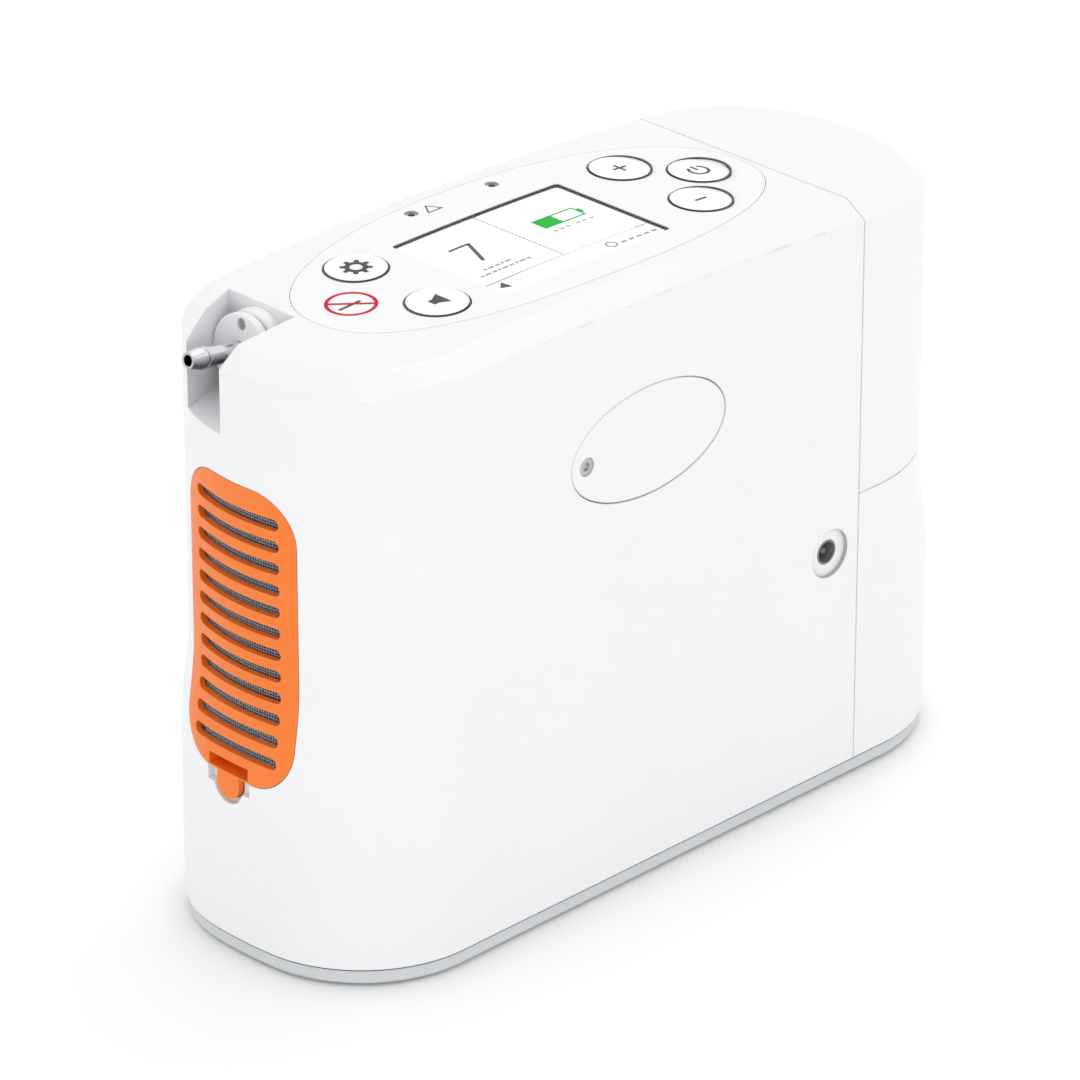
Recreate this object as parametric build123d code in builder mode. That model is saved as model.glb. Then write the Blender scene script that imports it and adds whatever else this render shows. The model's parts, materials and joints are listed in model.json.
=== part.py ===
from build123d import *
import math
import os

# Portable oxygen concentrator. Millimetres, +Z up, the front end with the outlet towards -X.
# The origin is the centre of the footprint on the surface that the feet stand on.

# ---- Driving dimensions -------------------------------------------------------------------

LENGTH = 222.0
HALF_WIDTH = 41.4
HEIGHT = 161.7
WALL = 2.5
SEAM = 0.3

FEET_DROP = 0.6
BASE_TOP = 4.6
HOUSING_BOTTOM = 5.0
BASE_INSET = 0.6

# The ends of the plan are one large arc between two corner arcs. They are flat and full at the
# foot, and round and slightly set back from the waist up.
FOOT_END_RADIUS = 140.0
FRONT_FOOT_RADIUS = 34.5
REAR_FOOT_RADIUS = 36.6
FRONT_END_RADIUS = 52.0
FRONT_CORNER_RADIUS = 36.0
FRONT_SETBACK = 1.6
REAR_END_RADIUS = 62.0
REAR_CORNER_RADIUS = 39.5
REAR_SETBACK = 2.0
WAIST_LOW = 50.0
WAIST_HIGH = 77.0
WAIST_STEPS = 4

# The top is one shallow arch along X, with a wide low bevel round it.
CROWN_X = -30.0
CROWN_RADIUS = 1100.0
BEVEL_WIDTH = 6.2
BEVEL_HEIGHT = 4.0
BEVEL_ROUND = 1.3

# Rear block: battery above, fixed cover below.
REAR_SPLIT_X = 62.4
BATTERY_SPLIT_Z = 79.5

# Control panel on the top.
PANEL_X = -11.3
PANEL_HALF_X = 72.3
PANEL_HALF_Y = 31.6
PANEL_POWER = 2.3
PANEL_THICK = 0.8
PANEL_GAP = 0.15
BUTTON_HOLE_RADIUS = 8.2
BUTTON_RADIUS = 7.6
BUTTON_PROUD = 0.3
BUTTON_TRAVEL = 0.6
BUTTONS = {
    "settings_button": (-56.7, 14.0),
    "mute_button": (-56.7, -13.7),
    "plus_button": (32.5, 13.3),
    "power_button": (46.8, 0.0),
    "minus_button": (33.0, -13.9),
}
SCREEN = (-42.5, 14.1, -22.1, 16.8)
SCREEN_RECESS = 0.3
WINDOW_THICK = 0.5
GASKET_DROP = 0.25
GASKET_WIDTH = 0.3
LED_PLACES = ((-25.4, 27.3), (1.6, 26.8))
LED_RADIUS = 1.8
LED_DROP = 0.9
KEY_BOARD_TOP = 148.5
KEY_BOARD_THICK = 1.6
SWITCH_TOP = 151.5

# Outlet recess in the front end and the barbed outlet that stands in it.
POCKET_NEAR_Y = 5.8
POCKET_FAR_Y = 28.5
POCKET_BACK_X = -84.6
POCKET_FLOOR_Z = 138.0
OUTLET_Y = 17.0
FLANGE_X = -92.5
FLANGE_Z = 150.6
OUTLET_TILT = 9.3
FLANGE_RADIUS = 9.0
FLANGE_THICK = 2.4
NOZZLE_LENGTH = 16.3

# Intake grille in the front end.
GRILLE_Y = 2.3
GRILLE_HALF_Y = 19.4
GRILLE_BOTTOM = 49.0
GRILLE_TOP = 127.2
GRILLE_GAP = 0.2
SLOT_COUNT = 12
SLOT_PITCH = 5.7
SLOT_HEIGHT = 3.1
SLOT_HALF_Y = 14.7
SLOT_TOP_Z = 119.7
GRILLE_CORNER = 12.5
TAB_Y = 3.8
TAB_WIDTH = 8.0
TAB_BOTTOM = 42.4
TAB_RECESS = (-3.3, 10.7, 49.6, 52.9)
TAB_BOX = (-4.3, 11.7, 48.0, 53.4)
TAB_RECESS_DEPTH = 5.0
TAB_BOX_DEPTH = 6.0
TAB_NOTCH = (-3.7, 11.1, 45.3, 50.0)
FINGER_RADIUS = 5.1
FINGER_RISE = 4.0
RECESS_DEPTH = 1.8
GRILLE_THICK = 1.7
MESH_THICK = 0.5
FOAM_THICK = 3.0
MESH_AREA = (-14.3, 18.9, 53.9, 124.2, 6.0)

# Side features.
COVER_X = -13.0
COVER_Z = 119.9
COVER_HALF_X = 26.7
COVER_HALF_Z = 14.5
COVER_THICK = 1.8
SCREW_X = -34.3
DISH_X = 52.1
DISH_Z = 66.4
DISH_RADIUS = 6.5
DISH_DEPTH = 1.2
JACK_DEPTH = 1.1
JACK_RADIUS = 3.2
JACK_HOLE_RADIUS = 2.8
JACK_PIN_RADIUS = 1.0

# Inside.
COMPRESSOR_Z = 45.0
SHAFT_RADIUS = 3.0
SHAFT_CLEARANCE = 0.08
FAN_X = -84.0
FAN_Z = 88.0
FAN_SIZE = 60.0
FAN_DEPTH = 15.0
FAN_FRONT_X = FAN_X - FAN_DEPTH / 2
FAN_REAR_X = FAN_X + FAN_DEPTH / 2
SIEVE_X = 34.0
SIEVE_Y = 18.5
SIEVE_RADIUS = 16.5
CELL_RADIUS = 9.1
CELL_LENGTH = 65.0

FAR = 400.0


# ---- Shared shapes ------------------------------------------------------------------------


def smooth_step(value):
    clipped = min(max(value, 0.0), 1.0)
    return clipped * clipped * (3.0 - 2.0 * clipped)


def mix_radius(low, high, share):
    """Blends two radii by their curvature."""
    return 1.0 / ((1.0 - share) / low + share / high)


def end_points(apex, side, half_width, end_radius, corner_radius):
    """Points of one end of the plan, from the -Y side round to the +Y side."""
    lift = half_width - corner_radius
    reach = end_radius - math.sqrt((end_radius - corner_radius) ** 2 - lift**2)
    turn = math.atan2(lift, end_radius - reach)
    middle = (turn + math.pi / 2) / 2

    def place(inward, across):
        return (apex - side * inward, across)

    tangent = (end_radius - end_radius * math.cos(turn), end_radius * math.sin(turn))
    bulge = (reach - corner_radius * math.cos(middle), lift + corner_radius * math.sin(middle))
    return [
        place(reach, -half_width),
        place(bulge[0], -bulge[1]),
        place(tangent[0], -tangent[1]),
        place(0.0, 0.0),
        place(tangent[0], tangent[1]),
        place(bulge[0], bulge[1]),
        place(reach, half_width),
    ]


def plan_outline(z, inset=0.0):
    """Plan of the whole body at height z, moved in by inset."""
    share = smooth_step((z - WAIST_LOW) / (WAIST_HIGH - WAIST_LOW))
    half = LENGTH / 2 - inset
    width = HALF_WIDTH - inset
    front = end_points(
        -(half - FRONT_SETBACK * share),
        -1,
        width,
        mix_radius(FOOT_END_RADIUS, FRONT_END_RADIUS, share) - inset,
        FRONT_FOOT_RADIUS + (FRONT_CORNER_RADIUS - FRONT_FOOT_RADIUS) * share - inset,
    )
    rear = end_points(
        half - REAR_SETBACK * share,
        1,
        width,
        mix_radius(FOOT_END_RADIUS, REAR_END_RADIUS, share) - inset,
        REAR_FOOT_RADIUS + (REAR_CORNER_RADIUS - REAR_FOOT_RADIUS) * share - inset,
    )
    with BuildSketch(Plane.XY.offset(z)) as outline:
        with BuildLine():
            Line(front[0], rear[0])
            ThreePointArc(rear[0], rear[1], rear[2])
            ThreePointArc(rear[2], rear[3], rear[4])
            ThreePointArc(rear[4], rear[5], rear[6])
            Line(rear[6], front[6])
            ThreePointArc(front[6], front[5], front[4])
            ThreePointArc(front[4], front[3], front[2])
            ThreePointArc(front[2], front[1], front[0])
        make_face()
    return outline.sketch


def arch(drop):
    """Everything below the arched top, lowered by drop."""
    with BuildPart() as under:
        with BuildSketch(Plane.XZ) as disc:
            with Locations((CROWN_X, HEIGHT - CROWN_RADIUS)):
                Circle(CROWN_RADIUS - drop)
        extrude(amount=FAR / 2, both=True)
    return under.part


def top_z(x, drop=0.0):
    """Height of the arched top at x."""
    run = x - CROWN_X
    return HEIGHT - CROWN_RADIUS + math.sqrt((CROWN_RADIUS - drop) ** 2 - run**2)


def body_solid(inset, bottom):
    """The closed body, moved in by inset on its sides and its top."""
    rise = (WAIST_HIGH - WAIST_LOW) / WAIST_STEPS
    waist_levels = [WAIST_LOW + rise * step for step in range(WAIST_STEPS + 1)]
    foot_outline = plan_outline(bottom, inset)
    waist_outlines = [plan_outline(level, inset) for level in waist_levels]
    under_arch = arch(inset)
    with BuildPart() as body:
        add(foot_outline)
        extrude(amount=WAIST_LOW - bottom)
        for outline in waist_outlines:
            add(outline)
        loft()
        add(waist_outlines[-1])
        extrude(amount=HEIGHT)
        add(under_arch, mode=Mode.INTERSECT)
        top = body.faces().sort_by(Axis.Z)[-1]
        chamfer(top.edges(), length=BEVEL_WIDTH, length2=BEVEL_HEIGHT, reference=top)
        lowest_rim = top_z(LENGTH / 2) - BEVEL_HEIGHT - inset - 1.0
        rim = [edge for edge in body.edges() if edge.bounding_box().min.Z > lowest_rim]
        fillet(rim, BEVEL_ROUND)
    return body.part


def block(x0, x1, y0, y1, z0, z1):
    """Box between two corners, not joined to anything."""
    box = Box(x1 - x0, y1 - y0, z1 - z0, mode=Mode.PRIVATE)
    return Pos((x0 + x1) / 2, (y0 + y1) / 2, (z0 + z1) / 2) * box


def slab(x0, x1, z0, z1):
    """Part of space between two heights and two X positions."""
    return block(x0, x1, -FAR / 2, FAR / 2, z0, z1)


def save(builder, name):
    """Labels one finished piece and writes it as its own file."""
    builder.part.label = name
    export_step(builder.part, f"parts/{name}.step")


os.makedirs("parts", exist_ok=True)
OUTER = body_solid(0.0, HOUSING_BOTTOM)
INNER = body_solid(WALL, HOUSING_BOTTOM)
SHALLOW = body_solid(RECESS_DEPTH, HOUSING_BOTTOM)
GRILLE_INNER = body_solid(GRILLE_THICK, HOUSING_BOTTOM)
MESH_DEPTH = GRILLE_THICK + 0.1
FOAM_DEPTH = MESH_DEPTH + MESH_THICK + 0.1
MESH_OUTER = body_solid(MESH_DEPTH, HOUSING_BOTTOM)
MESH_INNER = body_solid(MESH_DEPTH + MESH_THICK, HOUSING_BOTTOM)
FOAM_OUTER = body_solid(FOAM_DEPTH, HOUSING_BOTTOM)
FOAM_INNER = body_solid(FOAM_DEPTH + FOAM_THICK, HOUSING_BOTTOM)
ARCH_TOP = arch(0.0)
ARCH_PANEL = arch(PANEL_THICK)
ARCH_BUTTONS = arch(-BUTTON_PROUD)
ARCH_LEDS = arch(LED_DROP)
ARCH_DISPLAY = arch(WALL + 0.1)


# ---- Cutting shapes -----------------------------------------------------------------------


def panel_prism(shrink):
    """Upright prism over the oval control panel."""
    half_x = PANEL_HALF_X - shrink
    half_y = PANEL_HALF_Y - shrink
    points = []
    for step in range(48):
        angle = 2 * math.pi * step / 48
        across, along = math.sin(angle), math.cos(angle)
        points.append(
            (
                PANEL_X + half_x * math.copysign(abs(along) ** (2 / PANEL_POWER), along),
                half_y * math.copysign(abs(across) ** (2 / PANEL_POWER), across),
            )
        )
    with BuildPart() as prism:
        with BuildSketch(Plane.XY.offset(KEY_BOARD_TOP)) as oval:
            with BuildLine():
                Spline(*points, periodic=True)
            make_face()
        extrude(amount=HEIGHT - KEY_BOARD_TOP + 5)
    return prism.part


def screen_prism(shrink):
    """Upright prism over the screen window."""
    x0, x1, y0, y1 = SCREEN
    with BuildPart() as prism:
        with BuildSketch(Plane.XY.offset(KEY_BOARD_TOP)) as frame:
            with Locations(((x0 + x1) / 2, (y0 + y1) / 2)):
                RectangleRounded(x1 - x0 - 2 * shrink, y1 - y0 - 2 * shrink, 1.2)
        extrude(amount=HEIGHT - KEY_BOARD_TOP + 5)
    return prism.part


def round_prisms(places, radius, bottom):
    """Upright round prisms at several places, reaching past the top."""
    with BuildPart() as prism:
        with BuildSketch(Plane.XY.offset(bottom)) as discs:
            with Locations(*places):
                Circle(radius)
        extrude(amount=HEIGHT - bottom + 5)
    return prism.part


def front_prism(draw):
    """Prism along X through the front end, from a profile drawn in the YZ plane."""
    with BuildPart() as prism:
        with BuildSketch(Plane.YZ.offset(-LENGTH / 2 - 15)) as profile:
            draw()
        extrude(amount=45)
    return prism.part


def box_profile(y0, y1, z0, z1, radius=0.0):
    """Rectangle in the YZ plane."""
    with Locations(((y0 + y1) / 2, (z0 + z1) / 2)):
        if radius:
            RectangleRounded(y1 - y0, z1 - z0, radius)
        else:
            Rectangle(y1 - y0, z1 - z0)


def grille_profile(shrink):
    """Outline of the intake grille with its pull tab."""
    box_profile(
        GRILLE_Y - GRILLE_HALF_Y + shrink,
        GRILLE_Y + GRILLE_HALF_Y - shrink,
        GRILLE_BOTTOM + shrink,
        GRILLE_TOP - shrink,
        GRILLE_CORNER - shrink,
    )
    box_profile(
        TAB_Y - TAB_WIDTH / 2 + shrink,
        TAB_Y + TAB_WIDTH / 2 - shrink,
        TAB_BOTTOM + shrink,
        GRILLE_BOTTOM + GRILLE_CORNER,
        TAB_WIDTH / 2 - shrink - 0.05,
    )


def slot_profile():
    """The row of ventilation slots."""
    places = [(GRILLE_Y, SLOT_TOP_Z - SLOT_PITCH * index) for index in range(SLOT_COUNT)]
    with Locations(*places):
        SlotOverall(2 * SLOT_HALF_Y, SLOT_HEIGHT)


def finger_profile():
    """Round finger relief behind the pull tab."""
    with Locations((TAB_Y, TAB_BOTTOM + FINGER_RISE)):
        Circle(FINGER_RADIUS)


def pocket_prism(grow, floor):
    """Outlet recess in plan, grown by the liner's thickness where asked."""
    corners = [
        (POCKET_BACK_X, POCKET_NEAR_Y),
        (POCKET_BACK_X, POCKET_FAR_Y),
        (-106.0, 21.5),
        (-130.0, 21.5),
        (-130.0, POCKET_NEAR_Y),
    ]
    with BuildPart() as prism:
        with BuildSketch(Plane.XY.offset(floor)) as plan:
            Polygon(*corners, align=None)
            if grow:
                offset(amount=grow, kind=Kind.INTERSECTION)
        extrude(amount=HEIGHT - floor + 5)
    return prism.part


def side_disc(x, z, radius, y0, y1):
    """Cylinder along Y between two Y positions."""
    return Pos(x, (y0 + y1) / 2, z) * Rot(90, 0, 0) * Cylinder(radius, y1 - y0, mode=Mode.PRIVATE)


def post(x, y, radius, z0, z1):
    """Upright cylinder."""
    return Pos(x, y, (z0 + z1) / 2) * Cylinder(radius, z1 - z0, mode=Mode.PRIVATE)


def rod(y, z, radius, x0, x1):
    """Cylinder along X."""
    return Pos((x0 + x1) / 2, y, z) * Rot(0, 90, 0) * Cylinder(radius, x1 - x0, mode=Mode.PRIVATE)


BUTTON_PLACES = list(BUTTONS.values())
GRILLE_HOLE = front_prism(lambda: grille_profile(0.0))
GRILLE_BODY = front_prism(lambda: grille_profile(GRILLE_GAP))
GRILLE_SLOTS = front_prism(slot_profile)
TAB_POCKET = front_prism(lambda: box_profile(*TAB_RECESS))
TAB_BLOCK_PRISM = front_prism(lambda: box_profile(*TAB_BOX))
TAB_SHOULDERS = front_prism(lambda: box_profile(*TAB_NOTCH))
FINGER_RELIEF = front_prism(finger_profile)
MESH_REGION = front_prism(lambda: box_profile(*MESH_AREA))
POCKET = pocket_prism(0.0, POCKET_FLOOR_Z)
POCKET_WALLS = pocket_prism(2.0, POCKET_FLOOR_Z - 2.0) & OUTER
PANEL_SEAT = panel_prism(0.0) - ARCH_PANEL
PANEL_SHEET = (panel_prism(PANEL_GAP) & ARCH_TOP) - ARCH_PANEL
GASKET_OPENING = screen_prism(GASKET_WIDTH)
WINDOW_UNDER = SCREEN_RECESS + WINDOW_THICK
LIT_FACE = screen_prism(GASKET_WIDTH + 0.05) & arch(WINDOW_UNDER + 0.1) & slab(-FAR, FAR, 153.5, FAR)
GASKET_BLOCK = (screen_prism(0.02) & arch(GASKET_DROP)) - arch(WALL)
WINDOW_SHEET = (screen_prism(GASKET_WIDTH + 0.05) & arch(SCREEN_RECESS)) - arch(WINDOW_UNDER)
TAB_CAVITY = TAB_POCKET - body_solid(TAB_RECESS_DEPTH, HOUSING_BOTTOM)
TAB_BLOCK = (OUTER & GRILLE_BODY & TAB_BLOCK_PRISM) - body_solid(TAB_BOX_DEPTH, HOUSING_BOTTOM)
SCREEN_HOLE = screen_prism(0.0)
BUTTON_HOLES = round_prisms(BUTTON_PLACES, BUTTON_HOLE_RADIUS, SWITCH_TOP)
LED_HOLES = round_prisms(LED_PLACES, LED_RADIUS, SWITCH_TOP)
DISH = side_disc(DISH_X, DISH_Z, DISH_RADIUS, -HALF_WIDTH - 1, -HALF_WIDTH + DISH_DEPTH)
REAR_FACE_X = REAR_SPLIT_X + SEAM / 2
HOUSING_REAR_X = REAR_SPLIT_X - SEAM / 2
BATTERY_BOTTOM = BATTERY_SPLIT_Z + SEAM / 2
COVER_TOP = BATTERY_SPLIT_Z - SEAM / 2
HOUSING_SCREWS = ((-60.0, -35.5), (-60.0, 35.5), (54.0, -35.5), (54.0, 35.5))
REAR_SCREWS = ((85.0, -33.5), (85.0, 33.5))
BASE_SCREWS = HOUSING_SCREWS + REAR_SCREWS
KEY_BOARD_SCREWS = ((-46.0, -28.3), (-46.0, 25.0), (44.0, -25.0), (44.0, 25.0))
BOSS_RADIUS_SMALL = 3.0
PILOT_RADIUS = 1.0
SCREW_BOSS_TOP = 18.0
FEET = ((-80.0, -22.0), (-80.0, 22.0), (80.0, -22.0), (80.0, 22.0))
FOOT_RADIUS = 8.0


# ---- Main housing -------------------------------------------------------------------------

with BuildPart() as surface_recesses:
    add(TAB_SHOULDERS)
    add(FINGER_RELIEF)
    add(SHALLOW, mode=Mode.SUBTRACT)

with BuildPart() as screw_bosses:
    for x, y in HOUSING_SCREWS:
        add(post(x, y, 4.0, HOUSING_BOTTOM, SCREW_BOSS_TOP))
    add(OUTER, mode=Mode.INTERSECT)

with BuildPart() as main_housing:
    add(OUTER)
    add(INNER, mode=Mode.SUBTRACT)
    add(slab(-FAR, HOUSING_REAR_X, 0, FAR), mode=Mode.INTERSECT)
    add(POCKET_WALLS)
    add(POCKET, mode=Mode.SUBTRACT)
    add(surface_recesses.part, mode=Mode.SUBTRACT)
    add(GRILLE_HOLE, mode=Mode.SUBTRACT)
    add(PANEL_SEAT, mode=Mode.SUBTRACT)
    add(SCREEN_HOLE, mode=Mode.SUBTRACT)
    add(BUTTON_HOLES, mode=Mode.SUBTRACT)
    add(LED_HOLES, mode=Mode.SUBTRACT)
    add(side_disc(SCREW_X, COVER_Z, 3.0, -HALF_WIDTH + WALL - 0.5, -33.0))
    add(side_disc(DISH_X, DISH_Z, DISH_RADIUS - 1.0, -HALF_WIDTH + WALL - 0.5, -37.0))
    add(screw_bosses.part)
    for x, y in KEY_BOARD_SCREWS:
        add(post(x, y, BOSS_RADIUS_SMALL, KEY_BOARD_TOP, top_z(x) - WALL + 0.8))
        add(post(x, y, PILOT_RADIUS, KEY_BOARD_TOP, top_z(x) - WALL), mode=Mode.SUBTRACT)
    with BuildSketch(Plane.XZ.offset(HALF_WIDTH)) as cover_seat:
        with Locations((COVER_X, COVER_Z)):
            Ellipse(COVER_HALF_X, COVER_HALF_Z)
    extrude(amount=-COVER_THICK, mode=Mode.SUBTRACT)
    add(side_disc(SCREW_X, COVER_Z, 1.3, -HALF_WIDTH - 1, -32.0), mode=Mode.SUBTRACT)
    add(DISH, mode=Mode.SUBTRACT)
    add(side_disc(DISH_X, DISH_Z, JACK_RADIUS + 0.1, -HALF_WIDTH, -36.0), mode=Mode.SUBTRACT)
    for x, y in HOUSING_SCREWS:
        add(post(x, y, 1.6, 0.0, SCREW_BOSS_TOP - 1.5), mode=Mode.SUBTRACT)
save(main_housing, "main_housing")

# ---- Service cover and its screw ------------------------------------------------------------

with BuildPart() as service_cover:
    with BuildSketch(Plane.XZ.offset(HALF_WIDTH)) as cover_shape:
        with Locations((COVER_X, COVER_Z)):
            Ellipse(COVER_HALF_X - 0.3, COVER_HALF_Z - 0.3)
    extrude(amount=-COVER_THICK + 0.05)
    fillet(service_cover.faces().sort_by(Axis.Y)[0].edges(), 0.4)
    add(side_disc(SCREW_X, COVER_Z, 2.4, -HALF_WIDTH - 1, -HALF_WIDTH + 0.9), mode=Mode.SUBTRACT)
    add(side_disc(SCREW_X, COVER_Z, 1.4, -HALF_WIDTH - 1, -30.0), mode=Mode.SUBTRACT)
save(service_cover, "service_cover")

with BuildPart() as service_screw:
    with BuildSketch(Plane.XZ.offset(HALF_WIDTH - 0.9)) as screw_head:
        with Locations((SCREW_X, COVER_Z)):
            Circle(2.2)
            RegularPolygon(1.2, 6, mode=Mode.SUBTRACT)
    extrude(amount=0.6)
    with BuildSketch(Plane.XZ.offset(HALF_WIDTH - 0.9)) as screw_shank:
        with Locations((SCREW_X, COVER_Z)):
            Circle(1.2)
    extrude(amount=-6.5)
save(service_screw, "service_screw")

# ---- Power inlet ------------------------------------------------------------------------------

with BuildPart() as dc_jack:
    add(side_disc(DISH_X, DISH_Z, JACK_RADIUS, -HALF_WIDTH + JACK_DEPTH, -36.9))
    add(block(DISH_X - 4.5, DISH_X + 4.5, -36.9, -30.0, DISH_Z - 5.0, DISH_Z + 5.0))
    add(side_disc(DISH_X, DISH_Z, JACK_HOLE_RADIUS, -HALF_WIDTH, -31.0), mode=Mode.SUBTRACT)
    add(side_disc(DISH_X, DISH_Z, JACK_PIN_RADIUS, -HALF_WIDTH, -29.0), mode=Mode.SUBTRACT)
save(dc_jack, "dc_jack")

with BuildPart() as dc_jack_pin:
    add(side_disc(DISH_X, DISH_Z, JACK_PIN_RADIUS - 0.02, -39.2, -29.5))
    fillet(dc_jack_pin.faces().sort_by(Axis.Y)[0].edges(), 0.3)
save(dc_jack_pin, "dc_jack_pin")

# ---- Intake grille, its wire mesh and its foam filter -----------------------------------------

with BuildPart() as intake_grille:
    add(OUTER)
    add(GRILLE_BODY, mode=Mode.INTERSECT)
    add(GRILLE_INNER, mode=Mode.SUBTRACT)
    add(TAB_BLOCK)
    add(TAB_CAVITY, mode=Mode.SUBTRACT)
    add(GRILLE_SLOTS, mode=Mode.SUBTRACT)
save(intake_grille, "intake_grille")

with BuildPart() as intake_mesh:
    add(MESH_OUTER)
    add(MESH_REGION, mode=Mode.INTERSECT)
    add(MESH_INNER, mode=Mode.SUBTRACT)
save(intake_mesh, "intake_mesh")

with BuildPart() as intake_filter:
    add(FOAM_OUTER)
    add(MESH_REGION, mode=Mode.INTERSECT)
    add(FOAM_INNER, mode=Mode.SUBTRACT)
save(intake_filter, "intake_filter")

# ---- Control panel ------------------------------------------------------------------------------

with BuildPart() as control_overlay:
    add(PANEL_SHEET)
    add(SCREEN_HOLE, mode=Mode.SUBTRACT)
    add(BUTTON_HOLES, mode=Mode.SUBTRACT)
    add(LED_HOLES, mode=Mode.SUBTRACT)
save(control_overlay, "control_overlay")

with BuildPart() as display_window:
    add(WINDOW_SHEET)
save(display_window, "display_window")

with BuildPart() as display_gasket:
    add(GASKET_BLOCK)
    add(GASKET_OPENING, mode=Mode.SUBTRACT)
save(display_gasket, "display_gasket")

with BuildPart() as display_module:
    add(block(SCREEN[0] - 3, SCREEN[1] + 3, SCREEN[2] - 3, SCREEN[3] + 3, 153.0, HEIGHT))
    add(ARCH_DISPLAY, mode=Mode.INTERSECT)
    add(LIT_FACE)
save(display_module, "display_module")

for name, (x, y) in BUTTONS.items():
    level = top_z(x)
    with BuildPart() as button:
        add(post(x, y, BUTTON_RADIUS, level - 4.0, HEIGHT + 2))
        add(ARCH_BUTTONS, mode=Mode.INTERSECT)
        add(post(x, y, 9.0, level - 4.7, level - 3.6))
        add(post(x, y, 2.5, SWITCH_TOP + BUTTON_TRAVEL + 0.1, level - 4.0))
    save(button, name)

with BuildPart() as led_light_pipes:
    for x, y in LED_PLACES:
        add(post(x, y, LED_RADIUS - 0.1, KEY_BOARD_TOP + 0.1, HEIGHT + 2))
    add(ARCH_LEDS, mode=Mode.INTERSECT)
save(led_light_pipes, "led_light_pipes")

with BuildPart() as key_board:
    add(block(-69.0, 55.0, -30.0, 30.0, KEY_BOARD_TOP - KEY_BOARD_THICK, KEY_BOARD_TOP))
    fillet(key_board.edges().filter_by(Axis.Z), 4.0)
    for x, y in KEY_BOARD_SCREWS:
        add(post(x, y, PILOT_RADIUS + 0.2, KEY_BOARD_TOP - 3.0, KEY_BOARD_TOP), mode=Mode.SUBTRACT)
save(key_board, "key_board")

with BuildPart() as key_switches:
    for x, y in BUTTON_PLACES:
        add(block(x - 3.0, x + 3.0, y - 3.0, y + 3.0, KEY_BOARD_TOP, SWITCH_TOP - 0.8))
        add(post(x, y, 1.5, SWITCH_TOP - 1.0, SWITCH_TOP))
save(key_switches, "key_switches")

with BuildPart() as buzzer:
    add(post(-58.0, -22.0, 6.0, 142.0, KEY_BOARD_TOP - KEY_BOARD_THICK))
    add(post(-58.0, -22.0, 1.0, 140.0, 145.0), mode=Mode.SUBTRACT)
save(buzzer, "buzzer")

# ---- Outlet: boss, flange, barbed nozzle, screws and seal ----------------------------------------

TILT = math.radians(OUTLET_TILT)
OUTLET_DIRECTION = (-math.cos(TILT), 0.0, math.sin(TILT))
FLANGE_CENTRE = (FLANGE_X, OUTLET_Y, FLANGE_Z)
FLANGE_PLANE = Plane(origin=FLANGE_CENTRE, x_dir=(0, -1, 0), z_dir=OUTLET_DIRECTION)
NOZZLE_PLANE = Plane(origin=FLANGE_CENTRE, x_dir=OUTLET_DIRECTION, z_dir=(0, -1, 0))
BOSS_FRONT_X = -88.2
BOSS_RADIUS = 9.6
FLANGE_SCREW_PITCH = 6.5
BEHIND_BOSS_FRONT = slab(BOSS_FRONT_X, FAR, 0, FAR)

with BuildPart() as outlet_boss:
    add(rod(OUTLET_Y, FLANGE_Z - 1.0, BOSS_RADIUS, BOSS_FRONT_X, POCKET_BACK_X))
    fillet(outlet_boss.faces().sort_by(Axis.X)[0].edges(), 1.6)
save(outlet_boss, "outlet_boss")

with BuildPart() as outlet_flange:
    with BuildSketch(FLANGE_PLANE) as flange_disc:
        Circle(FLANGE_RADIUS)
    extrude(amount=-FLANGE_THICK)
    fillet(outlet_flange.edges(), 0.5)
    with BuildSketch(FLANGE_PLANE.offset(-FLANGE_THICK)) as flange_neck:
        Circle(6.0)
    extrude(amount=-5.0)
    add(BEHIND_BOSS_FRONT, mode=Mode.SUBTRACT)
    with BuildSketch(FLANGE_PLANE) as flange_bore:
        Circle(2.25)
    extrude(amount=-3.0, mode=Mode.SUBTRACT)
    with BuildSketch(FLANGE_PLANE) as screw_pockets:
        with Locations((0, FLANGE_SCREW_PITCH), (0, -FLANGE_SCREW_PITCH)):
            Circle(1.5)
    extrude(amount=-1.4, mode=Mode.SUBTRACT)
save(outlet_flange, "outlet_flange")

with BuildPart() as outlet_screws:
    with BuildSketch(FLANGE_PLANE.offset(-1.4)) as outlet_screw_heads:
        with Locations((0, FLANGE_SCREW_PITCH), (0, -FLANGE_SCREW_PITCH)):
            Circle(1.4)
            RegularPolygon(0.7, 6, mode=Mode.SUBTRACT)
    extrude(amount=0.6)
save(outlet_screws, "outlet_screws")

BARB_RADIUS = 2.75
BARB_LENGTH = 1.0
NOZZLE_PROFILE = [
    (-2.6, 1.4),
    (-2.6, 2.2),
    (0.4, 2.2),
    (0.6, 2.4),
    (10.4, 2.4),
    (10.6, 2.7),
    (11.3, 2.7),
    (11.5, 2.3),
    (12.0, BARB_RADIUS),
    (12.0 + BARB_LENGTH, BARB_RADIUS),
    (15.3, 2.2),
    (NOZZLE_LENGTH, 2.0),
    (NOZZLE_LENGTH, 1.4),
]
with BuildPart() as outlet_nozzle:
    with BuildSketch(NOZZLE_PLANE) as nozzle_profile:
        Polygon(*NOZZLE_PROFILE, align=None)
    revolve(axis=Axis(FLANGE_CENTRE, OUTLET_DIRECTION))
save(outlet_nozzle, "outlet_nozzle")

# ---- Rear cover, battery and latch ----------------------------------------------------------------

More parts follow.
